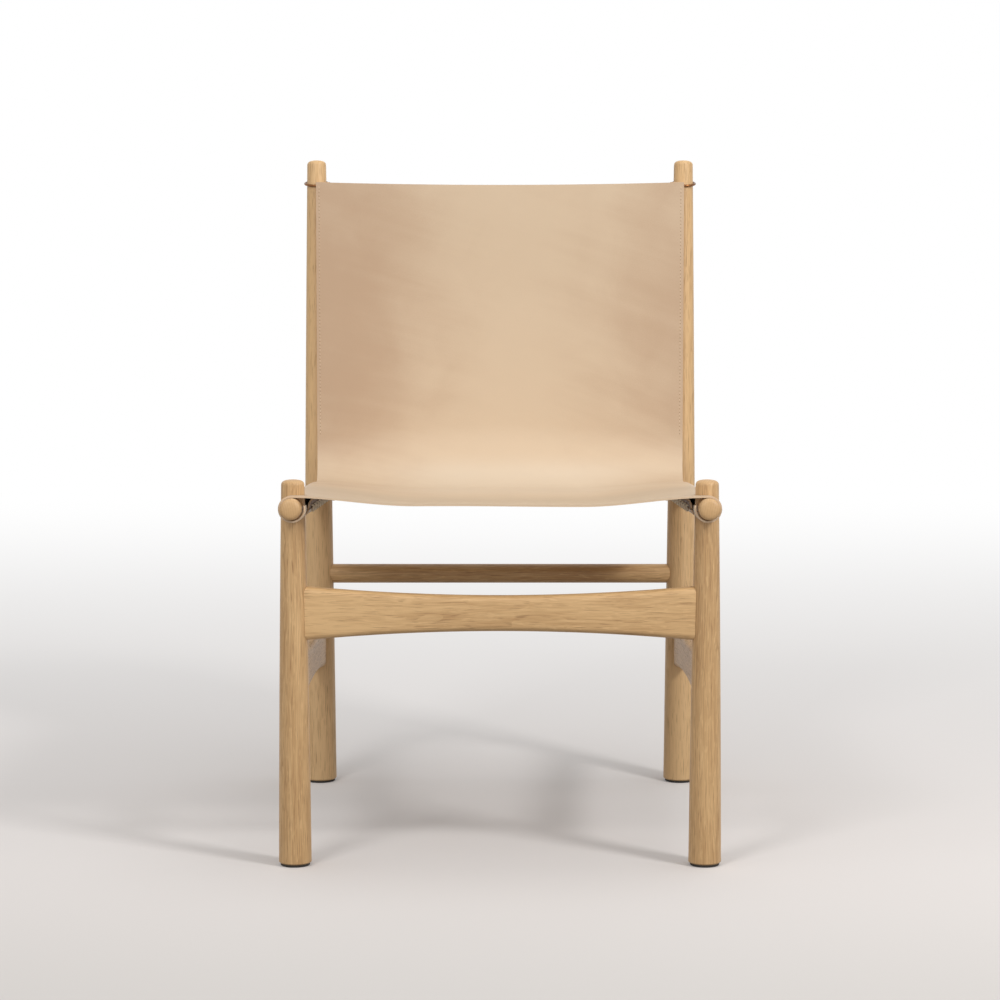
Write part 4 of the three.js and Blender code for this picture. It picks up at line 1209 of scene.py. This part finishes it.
# Welts: a folded strip of the same leather sewn behind each back edge. Its bulb slides down the
# groove in the post, so that the edge is held along its whole height.
WELT_BULB_R = 0.003
WELT_WEB = 0.0012
WELT_TAIL = 0.016
WELT_TAIL_THICKNESS = 0.003
CONTACT = 0.0003

welt_front = -POST_STANDOFF + CONTACT
welt_outline = [
    (-GROOVE_INSET - WELT_TAIL, welt_front),
    (-GROOVE_INSET + WELT_WEB, welt_front),
    *bulb(WELT_BULB_R, WELT_WEB),
    (-GROOVE_INSET - WELT_WEB, welt_front + WELT_TAIL_THICKNESS),
    (-GROOVE_INSET - WELT_TAIL, welt_front + WELT_TAIL_THICKNESS),
]
welt = prism("edge_welt_right_leather", welt_outline, groove_frame, welt_low, welt_high, flesh_side)
welt.data.set_sharp_from_angle(angle=SHARP_CUT)
keep(welt, "welt_leather", "edge_welt_right")
keep(mirrored(welt, "edge_welt_left_leather", flesh_side), "welt_leather", "edge_welt_left")

# Lacing strips: a strip of the same leather sewn under each side of the seat and turned down beside
# the rail until it meets the edge of the flap, coloured dark brown as painted shade under the seat. A
# row of punched holes takes the lacing.
STRIP_THICKNESS = 0.002
STRIP_EDGE_GAP = 0.001
STRIP_RISE = 0.0074
STRIP_LEAN = 0.0005
STRIP_ROUND = 0.007
STRIP_TURN = 0.026
STRIP_CONTACT = 0.0006
STRIP_HOLE_SHARE = 0.15
STRIP_STEPS = 22
STRIP_FLAT_STEPS = 7
STRIP_ROWS = 110

flap_edge_radius = flap_radius(WRAP["end"], WRAP) + LEATHER / 2
flap_edge = Vector((math.cos(WRAP["end"]), math.sin(WRAP["end"]))) * flap_edge_radius
strip_front = leg_notch + 2 * LACE_HOLE_R


def seat_underside(inward, rearward):
    """How far the underside of the seat lies above the rail's axis."""
    u = 1 - inward / SIDE_X
    seat_start = corner_rearward - bend_tangent(u)
    station = 2 + (seat_start - rearward) / (seat_start + SLING_FRONT)
    return seat_lift - LEATHER / 2 - hang(u, station)


def strip_section(share, rearward):
    """Middle of the strip: up from the flap's edge at 0, round at 1, flat under the seat to 2."""
    drop = STRIP_CONTACT + STRIP_THICKNESS / 2
    if share > 1:
        inward = mix(STRIP_TURN, STRIP_INNER, share - 1)
        return Vector((inward, seat_underside(inward, rearward) - drop))
    edge = flap_edge + Vector((0, STRIP_EDGE_GAP))
    turn = Vector((STRIP_TURN, seat_underside(STRIP_TURN, rearward) - drop))
    rise, round_off = edge + Vector((STRIP_LEAN, STRIP_RISE)), turn - Vector((STRIP_ROUND, 0))
    rest = 1 - share
    return rest**3 * edge + 3 * rest**2 * share * rise + 3 * rest * share**2 * round_off + share**3 * turn


strip_shares = [*np.linspace(0, 1, STRIP_STEPS), *np.linspace(1, 2, STRIP_FLAT_STEPS)[1:]]
strip_width = len(strip_shares)
strip_points, strip_faces = [], []
for rearward in np.linspace(strip_front, strip_rear, STRIP_ROWS):
    for share in strip_shares:
        strip_points.append(on_rail(*strip_section(share, rearward), rearward))
for row in range(STRIP_ROWS - 1):
    for column in range(strip_width - 1):
        at = row * strip_width + column
        strip_faces.append((at, at + 1, at + 1 + strip_width, at + strip_width))
# Painted shade: the strip is coloured dark brown for the shadow it lies in under the seat
strip_painted_shade = leather(
    "strip_leather",
    base=linear(112, 84, 60),
    pale=linear(138, 106, 78),
    deep=linear(88, 64, 44),
    streaks=0.0,
    nap=0.6,
)
strip = mesh_piece("strip_sheet", strip_points, strip_faces, strip_painted_shade, strip_painted_shade, cut_edge)
thickened(strip, STRIP_THICKNESS)
strip_holes = []
for turn in lace_turns:
    rearward = lace_front + (turn + STRIP_SHARE) * LACE_PITCH
    across, up = strip_section(STRIP_HOLE_SHARE, rearward)
    near, far = across - STRIP_THICKNESS, across + STRIP_THICKNESS
    strip_holes.append((on_rail(near, up, rearward), on_rail(far, up, rearward)))
strip = carved(strip, "lacing_strip_right_leather", drill("strip_drill", strip_holes, cut_edge))
strip_left = mirrored(strip, "lacing_strip_left_leather")
for made, side in ((strip, "right"), (strip_left, "left")):
    keep(made, "strip_leather", f"lacing_strip_{side}")

# Stitching: waxed linen thread in a saddle stitch, one row down each back edge that holds the welt
# behind it and a blind one under the seat along each strip. Each stitch ends in its needle hole, a
# flattened bead in darker brown as the hole's painted shade.
STITCH_PITCH = 0.0046
STITCH_LENGTH = 0.0036
THREAD_R = 0.00036
NEEDLE_R = 0.00055
STITCH_INSET = 0.004
STITCH_SLANT = math.radians(9)
SEAM_INWARD = 0.036
SEAM_MARGIN = 0.006
SEAM_POINTS = 60
SEAM_TOP, SEAM_FOOT = 0.02, 0.98
NEEDLE_HOLE_DEPTH = 0.35
BEAD_SEGMENTS = 8
BEAD_RINGS = 6
FIBRE_WAVES = (1500, 1500, 1500)
FIBRE_LIMITS = (0.3, 0.7)
FIBRE_ROUGH_LIMITS = (0.2, 0.8)
FIBRE_ROUGH_SWING = 0.1
FIBRE_RELIEF = 0.4
FIBRE_RELIEF_DEPTH = 0.0002

stitch_row, stitch_in, stitch_out = new_group(
    "stitch_row",
    "GeometryNodeTree",
    (
        ("Geometry", "NodeSocketGeometry", None),
        ("Pitch", "NodeSocketFloat", STITCH_PITCH),
        ("Length", "NodeSocketFloat", STITCH_LENGTH),
        ("Thread Radius", "NodeSocketFloat", THREAD_R),
        ("Needle Radius", "NodeSocketFloat", NEEDLE_R),
        ("Slant", "NodeSocketFloat", STITCH_SLANT),
        ("Thread", "NodeSocketMaterial", None),
        ("Painted Needle Hole Shade", "NodeSocketMaterial", None),
    ),
    (("Geometry", "NodeSocketGeometry"),),
)
seam = add(stitch_row, "GeometryNodeMeshToCurve", {"Mesh": stitch_in["Geometry"]}).outputs[0]
seam = add(
    stitch_row,
    "GeometryNodeCurveToPoints",
    {"Curve": seam, "Length": stitch_in["Pitch"]},
    mode="LENGTH",
).outputs
seam_out = add(
    stitch_row,
    "GeometryNodeInputNamedAttribute",
    {"Name": "facing"},
    data_type="FLOAT_VECTOR",
).outputs[0]
lying = add(
    stitch_row,
    "FunctionNodeAlignRotationToVector",
    {"Vector": seam["Tangent"]},
    axis="X",
).outputs[0]
lying = add(
    stitch_row,
    "FunctionNodeAlignRotationToVector",
    {"Rotation": lying, "Vector": seam_out},
    axis="Z",
    pivot_axis="X",
).outputs[0]
slant = add(stitch_row, "ShaderNodeCombineXYZ", {"Z": stitch_in["Slant"]}).outputs[0]
half_length = number(stitch_row, "MULTIPLY", stitch_in["Length"], 0.5)
thread_size = add(
    stitch_row,
    "ShaderNodeCombineXYZ",
    {"X": half_length, "Y": stitch_in["Thread Radius"], "Z": stitch_in["Thread Radius"]},
).outputs[0]
hole_depth = number(stitch_row, "MULTIPLY", stitch_in["Needle Radius"], NEEDLE_HOLE_DEPTH)
hole_size = add(
    stitch_row,
    "ShaderNodeCombineXYZ",
    {"X": stitch_in["Needle Radius"], "Y": stitch_in["Needle Radius"], "Z": hole_depth},
).outputs[0]
half_pitch = number(stitch_row, "MULTIPLY", stitch_in["Pitch"], 0.5)
hole_place = add(stitch_row, "ShaderNodeCombineXYZ", {"X": half_pitch}).outputs[0]
bead = add(
    stitch_row,
    "GeometryNodeMeshUVSphere",
    {"Segments": BEAD_SEGMENTS, "Rings": BEAD_RINGS, "Radius": 1.0},
).outputs[0]
thread_bead = add(
    stitch_row,
    "GeometryNodeTransform",
    {"Geometry": bead, "Rotation": slant, "Scale": thread_size},
).outputs[0]
hole_bead = add(
    stitch_row,
    "GeometryNodeTransform",
    {"Geometry": bead, "Translation": hole_place, "Scale": hole_size},
).outputs[0]
sewn = add(stitch_row, "GeometryNodeJoinGeometry")
for shape, finish in ((thread_bead, "Thread"), (hole_bead, "Painted Needle Hole Shade")):
    placed = {"Points": seam["Points"], "Instance": shape, "Rotation": lying}
    placed = add(stitch_row, "GeometryNodeInstanceOnPoints", placed).outputs[0]
    placed = add(stitch_row, "GeometryNodeRealizeInstances", {"Geometry": placed}).outputs[0]
    placed = {"Geometry": placed, "Material": stitch_in[finish]}
    placed = add(stitch_row, "GeometryNodeSetMaterial", placed).outputs[0]
    stitch_row.links.new(placed, sewn.inputs[0])
stitch_row.links.new(sewn.outputs[0], stitch_out.inputs[0])


def twine(name, light, dark, roughness):
    """Twisted fibre, with a fine unevenness along it."""
    material, tree = bare_material(name)
    place = add(tree, "ShaderNodeTexCoord").outputs["Object"]
    fibre = noise(tree, place, FIBRE_WAVES, detail=3.0).outputs[0]
    colour = tint(tree, ramp(tree, fibre, *FIBRE_LIMITS), dark, light)
    smoothest, roughest = roughness - FIBRE_ROUGH_SWING, roughness + FIBRE_ROUGH_SWING
    rough = ramp(tree, fibre, *FIBRE_ROUGH_LIMITS, smoothest, roughest)
    surface(tree, colour, rough, fibre, FIBRE_RELIEF, FIBRE_RELIEF_DEPTH)
    return material


seam_lines, seam_facing = [], []


def seam_row(places):
    """A sewn line from points and the way the leather faces at each."""
    for sign in (1, -1):
        seam_lines.append([Vector((sign * point.x, point.y, point.z)) for point, out in places])
        seam_facing.extend((sign * out.x, out.y, out.z) for point, out in places)


back_out = -Vector((0, back_away.x, back_away.y))
welt_back = welt_front + WELT_TAIL_THICKNESS
back_seam, welt_seam, strip_seam = [], [], []
for station in np.linspace(SEAM_TOP, SEAM_FOOT, SEAM_POINTS):
    edge = panel_point(1, station)
    sewn_at = panel_point(1 - STITCH_INSET / edge.x, station)
    back_seam.append((sewn_at + back_out * LEATHER / 2, back_out))
    behind = groove_frame @ Vector((-STITCH_INSET, welt_back, up_groove(edge.z)))
    welt_seam.append((behind, groove_inward))
for rearward in np.linspace(strip_front + SEAM_MARGIN, strip_rear - SEAM_MARGIN, SEAM_POINTS):
    below = seat_underside(SEAM_INWARD, rearward) - STRIP_CONTACT - STRIP_THICKNESS
    strip_seam.append((on_rail(SEAM_INWARD, below, rearward), -rail_up))
for places in (back_seam, welt_seam, strip_seam):
    seam_row(places)
stitch_values = {
    "Pitch": STITCH_PITCH,
    "Length": STITCH_LENGTH,
    "Thread Radius": THREAD_R,
    "Needle Radius": NEEDLE_R,
    "Slant": STITCH_SLANT,
    "Thread": twine("linen_thread", linear(226, 206, 178), linear(206, 180, 148), roughness=0.6),
    # The needle hole is a darker bead: painted shade of a hole
    "Painted Needle Hole Shade": twine("needle_hole_painted_shade", linear(158, 126, 97), linear(138, 108, 80), roughness=0.8),
}
keep(grown("stitching_linen", stitch_row, stitch_values, seam_lines, seam_facing), "lacing_cord")

# Lacing cord: waxed three-strand cotton, whipped over the seam of flap and strip along each rail. It
# passes in through a flap hole, up behind the seam and out of the strip, its ends glued in their holes.
CORD_R = 0.0013
CORD_CLEARANCE = 0.0004
CORD_LAY = 0.009
CORD_STEP = 0.0008
STRANDS = 3
STRAND_DEPTH = 0.3
STRAND_POINTS = 18
BEHIND_SHARE = 0.25
CROSS_SHARE = 0.75

laid_cord, cord_in, cord_out = new_group(
    "laid_cord",
    "GeometryNodeTree",
    (
        ("Geometry", "NodeSocketGeometry", None),
        ("Radius", "NodeSocketFloat", CORD_R),
        ("Lay", "NodeSocketFloat", CORD_LAY),
        ("Step", "NodeSocketFloat", CORD_STEP),
        ("Material", "NodeSocketMaterial", None),
    ),
    (("Geometry", "NodeSocketGeometry"),),
)
cord_line = add(laid_cord, "GeometryNodeMeshToCurve", {"Mesh": cord_in["Geometry"]}).outputs[0]
cord_line = add(
    laid_cord,
    "GeometryNodeResampleCurve",
    {"Curve": cord_line, "Length": cord_in["Step"]},
    mode="LENGTH",
).outputs[0]
cord_turn = add(laid_cord, "GeometryNodeSplineParameter").outputs["Length"]
cord_turn = number(laid_cord, "DIVIDE", cord_turn, cord_in["Lay"])
cord_turn = number(laid_cord, "MULTIPLY", cord_turn, 2 * math.pi)
cord_line = add(laid_cord, "GeometryNodeSetCurveTilt", {"Curve": cord_line, "Tilt": cord_turn}).outputs[0]
strands = add(
    laid_cord,
    "GeometryNodeCurvePrimitiveCircle",
    {"Resolution": STRAND_POINTS, "Radius": 1.0},
).outputs[0]
strand_place = add(laid_cord, "GeometryNodeInputPosition").outputs[0]
strand_axes = add(laid_cord, "ShaderNodeSeparateXYZ", {0: strand_place}).outputs
strand_turn = number(laid_cord, "ARCTAN2", strand_axes["Y"], strand_axes["X"])
lobe = number(laid_cord, "COSINE", number(laid_cord, "MULTIPLY", strand_turn, STRANDS / 2))
lobe = number(laid_cord, "ABSOLUTE", lobe)
lobe = number(laid_cord, "MULTIPLY_ADD", lobe, STRAND_DEPTH, 1 - STRAND_DEPTH)
lobe = number(laid_cord, "MULTIPLY", lobe, cord_in["Radius"])
strand_place = add(
    laid_cord,
    "ShaderNodeVectorMath",
    {0: strand_place, "Scale": lobe},
    operation="SCALE",
).outputs[0]
strands = {"Geometry": strands, "Position": strand_place}
strands = add(laid_cord, "GeometryNodeSetPosition", strands).outputs[0]
laid = {"Curve": cord_line, "Profile Curve": strands, "Fill Caps": True}
laid = add(laid_cord, "GeometryNodeCurveToMesh", laid).outputs[0]
laid = add(laid_cord, "GeometryNodeRealizeInstances", {"Geometry": laid}).outputs[0]
laid = {"Geometry": laid, "Material": cord_in["Material"]}
laid = add(laid_cord, "GeometryNodeSetMaterial", laid).outputs[0]
laid_cord.links.new(laid, cord_out.inputs[0])


def lace_turn(turn):
    """One turn of the lacing, from outside a flap hole to the crossing before the next one."""
    rearward = lace_front + turn * LACE_PITCH
    at_strip = rearward + STRIP_SHARE * LACE_PITCH
    clear = CORD_R + CORD_CLEARANCE
    beside_rail = (RAIL_R + flap_inside) / 2
    across, up = strip_section(STRIP_HOLE_SHARE, at_strip)
    return [
        through_flap(flap_inside + LEATHER + clear, rearward),
        through_flap(flap_inside + LEATHER / 2, rearward),
        through_flap(beside_rail, rearward),
        on_rail(beside_rail, flap_edge.y / 2, rearward + BEHIND_SHARE * LACE_PITCH),
        on_rail(beside_rail, up, at_strip),
        on_rail(across, up, at_strip),
        on_rail(across + STRIP_THICKNESS / 2 + clear, up, at_strip),
        on_rail(flap_edge.x + LEATHER / 2 + clear, flap_edge.y, rearward + CROSS_SHARE * LACE_PITCH),
    ]


def flowing(points, steps=12):
    """A smooth line through the points that doesn't overshoot where they are close together."""
    padded = [2 * points[0] - points[1], *points, 2 * points[-1] - points[-2]]
    line = [points[0]]
    for before, start, end, after in zip(padded, padded[1:], padded[2:], padded[3:]):
        gaps = [math.sqrt((b - a).length) for a, b in ((before, start), (start, end), (end, after))]
        leave = (start - before) / gaps[0] - (end - before) / (gaps[0] + gaps[1]) + (end - start) / gaps[1]
        arrive = (end - start) / gaps[1] - (after - start) / (gaps[1] + gaps[2]) + (after - end) / gaps[2]
        leave, arrive = leave * gaps[1], arrive * gaps[1]
        for step in range(1, steps + 1):
            t = step / steps
            line.append(
                start * (2 * t**3 - 3 * t**2 + 1)
                + leave * (t**3 - 2 * t**2 + t)
                + end * (3 * t**2 - 2 * t**3)
                + arrive * (t**3 - t**2)
            )
    return line


# The cord starts inside the first hole of the flap and ends inside the last one of the strip
route = [point for turn in lace_turns for point in lace_turn(turn)][1:-2]
cotton = twine("lacing_cotton", linear(252, 240, 218), linear(234, 214, 184), roughness=0.75)
cord_values = {"Radius": CORD_R, "Lay": CORD_LAY, "Step": CORD_STEP, "Material": cotton}
cord = grown("lacing_cord_right_cotton", laid_cord, cord_values, [flowing(route)])
keep(cord, "lacing_cord", "lacing_cord_right")
keep(mirrored(cord, "lacing_cord_left_cotton", cotton), "lacing_cord", "lacing_cord_left")

# Top rings: solid brass wire bent round the post and through the head of the welt, so that the
# leather hangs from them. Each sits a little low at the front.
RING_WIRE_R = 0.0015
RING_R = 0.015
RING_Z = 0.771
RING_CANT = math.radians(10)
RING_FORWARD = 0.0002
WIRE_SIDES = 20
BRASS_LIGHT = linear(150, 104, 66)
BRASS_DARK = linear(104, 68, 42)
BRASS_ROUGHNESS = (0.2, 0.34)
TARNISH_WAVES = (240, 240, 240)
TARNISH_LIMITS = (0.3, 0.7)

brass, brass_tree = bare_material("ring_brass")
brass_place = add(brass_tree, "ShaderNodeTexCoord").outputs["Object"]
tarnish = noise(brass_tree, brass_place, TARNISH_WAVES, detail=3.0).outputs[0]
brass_colour = tint(brass_tree, tarnish, BRASS_LIGHT, BRASS_DARK)
brass_rough = ramp(brass_tree, tarnish, *TARNISH_LIMITS, *BRASS_ROUGHNESS)
brass_shader = brass_tree.nodes["Principled BSDF"]
brass_shader.inputs["Metallic"].default_value = 1.0
brass_tree.links.new(brass_colour, brass_shader.inputs["Base Color"])
brass_tree.links.new(brass_rough, brass_shader.inputs["Roughness"])

cant = Matrix.Rotation(RING_CANT, 3, "X")
ring_middle = on_post(RING_Z) - Vector((0, RING_FORWARD, 0))
ring_points, ring_faces = [], []
for step in range(ROUND_SIDES):
    turn = 2 * math.pi * step / ROUND_SIDES
    outward = Vector((math.cos(turn), math.sin(turn), 0))
    onward = (step + 1) % ROUND_SIDES * WIRE_SIDES - step * WIRE_SIDES
    for side in range(WIRE_SIDES):
        angle = -2 * math.pi * side / WIRE_SIDES
        reach, rise = RING_R + RING_WIRE_R * math.cos(angle), RING_WIRE_R * math.sin(angle)
        ring_points.append(ring_middle + cant @ (outward * reach + UP * rise))
        here, there = step * WIRE_SIDES + side, step * WIRE_SIDES + (side + 1) % WIRE_SIDES
        ring_faces.append((here, there, there + onward, here + onward))
top_ring = mesh_piece("top_ring_right_brass", ring_points, ring_faces, brass)
keep(top_ring, "brass_ring", "top_ring_right")
keep(mirrored(top_ring, "top_ring_left_brass", brass), "brass_ring", "top_ring_left")

# Studio: a pale floor, painted darker towards the camera as painted shade, that fades into a white
# background all round. A soft light stands above to the right in front and a weaker one to the left,
# with a faint card low in front of each and one overhead.
CAMERA_LENS = 115.2
CAMERA_SENSOR = 36
CAMERA_DISTANCE = 3.6
CAMERA_HEIGHT = 0.809
CAMERA_PITCH = 6.165
FLOOR_SIDE = 14
FLOOR_NEAR, FLOOR_FAR = -8, 20
FLOOR_COLOUR = linear(225, 220, 217)
FLOOR_NEAR_PAINTED_SHADE = linear(203, 199, 195)
FLOOR_BOUNCE = linear(140, 138, 136)
FLOOR_ROUGHNESS = 0.9
FLOOR_SHEEN = 0.1
NEAR_SHADE_SPAN = (-1.1, -0.2)
FADE_REARWARD = (-0.7, 3.7)
FADE_ROUND = (1.8, 4.2)
WHITE = (1, 1, 1, 1)
ROOM_STRENGTH = 0.585
BACKGROUND_STRENGTH = 1.0
LIT_PLACE = (0, 0, 0.4)
LIGHTS = (
    ("right_light", (2.13, -1.99, 2.52), (0.6, 0.6), 50),
    ("left_light", (-1.25, -2.46, 2.71), (0.8, 0.8), 27),
    ("right_card", (1.9, -3.2, 0.75), (0.9, 0.5), 6.2),
    ("left_card", (-1.9, -3.2, 0.75), (0.9, 0.5), 5.6),
    ("top_light", (0.5, 0.15, 2.8), (1.2, 1.2), 7),
)

camera_data = bpy.data.cameras.new("camera")
camera_data.lens = CAMERA_LENS
camera_data.sensor_width = CAMERA_SENSOR
camera = bpy.data.objects.new("camera", camera_data)
camera.location = (0, FRONT_Y - CAMERA_DISTANCE, CAMERA_HEIGHT)
camera.rotation_euler = (math.radians(90 - CAMERA_PITCH), 0, 0)
bpy.context.scene.collection.objects.link(camera)
bpy.context.scene.camera = camera


def seen_directly(tree):
    """One where the camera or a mirror image looks at it, nothing for the light it throws."""
    path = add(tree, "ShaderNodeLightPath").outputs
    return number(tree, "MAXIMUM", path["Is Camera Ray"], path["Is Glossy Ray"])


floor_paint, floor_tree = bare_material("floor_paint")
floor_seen = seen_directly(floor_tree)
floor_place = add(floor_tree, "ShaderNodeTexCoord").outputs["Object"]
depth = add(floor_tree, "ShaderNodeSeparateXYZ", {0: floor_place}).outputs["Y"]
distance = vector(floor_tree, "LENGTH", floor_place).outputs["Value"]
# Painted shade: the floor is coloured darker towards the camera
floor_colour = tint(floor_tree, ramp(floor_tree, depth, *NEAR_SHADE_SPAN), FLOOR_NEAR_PAINTED_SHADE, FLOOR_COLOUR)
floor_colour = tint(floor_tree, floor_seen, FLOOR_BOUNCE, floor_colour)
floor_shader = floor_tree.nodes["Principled BSDF"]
floor_shader.inputs["Roughness"].default_value = FLOOR_ROUGHNESS
floor_shader.inputs["Specular IOR Level"].default_value = FLOOR_SHEEN
floor_tree.links.new(floor_colour, floor_shader.inputs["Base Color"])
fade = number(
    floor_tree,
    "MAXIMUM",
    ramp(floor_tree, depth, *FADE_REARWARD),
    ramp(floor_tree, distance, *FADE_ROUND),
)
fade = product(floor_tree, fade, floor_seen)
white = add(floor_tree, "ShaderNodeEmission", {"Color": WHITE, "Strength": BACKGROUND_STRENGTH}).outputs[0]
blend = add(floor_tree, "ShaderNodeMixShader", {0: fade, 1: floor_shader.outputs[0], 2: white}).outputs[0]
floor_tree.links.new(blend, floor_tree.nodes["Material Output"].inputs["Surface"])
floor_corners = [
    (-FLOOR_SIDE, FLOOR_NEAR, 0),
    (FLOOR_SIDE, FLOOR_NEAR, 0),
    (FLOOR_SIDE, FLOOR_FAR, 0),
    (-FLOOR_SIDE, FLOOR_FAR, 0),
]
floor = mesh_piece("floor", floor_corners, [(0, 1, 2, 3)], floor_paint)

world = bpy.data.worlds.new("studio")
world.use_nodes = True
world_tree = world.node_tree
strength = ramp(world_tree, seen_directly(world_tree), 0.0, 1.0, ROOM_STRENGTH, BACKGROUND_STRENGTH)
background = world_tree.nodes["Background"]
background.inputs["Color"].default_value = WHITE
world_tree.links.new(strength, background.inputs["Strength"])
bpy.context.scene.world = world


def soft_light(name, place, size, power):
    data = bpy.data.lights.new(name, "AREA")
    data.shape = "RECTANGLE"
    data.size, data.size_y = size
    data.energy = power
    lamp = bpy.data.objects.new(name, data)
    lamp.location = place
    lamp.rotation_euler = (Vector(LIT_PLACE) - Vector(place)).to_track_quat("-Z", "Y").to_euler()
    lamp.visible_camera = False
    bpy.context.scene.collection.objects.link(lamp)


for light in LIGHTS:
    soft_light(*light)

bpy.context.scene.view_settings.view_transform = "Standard"
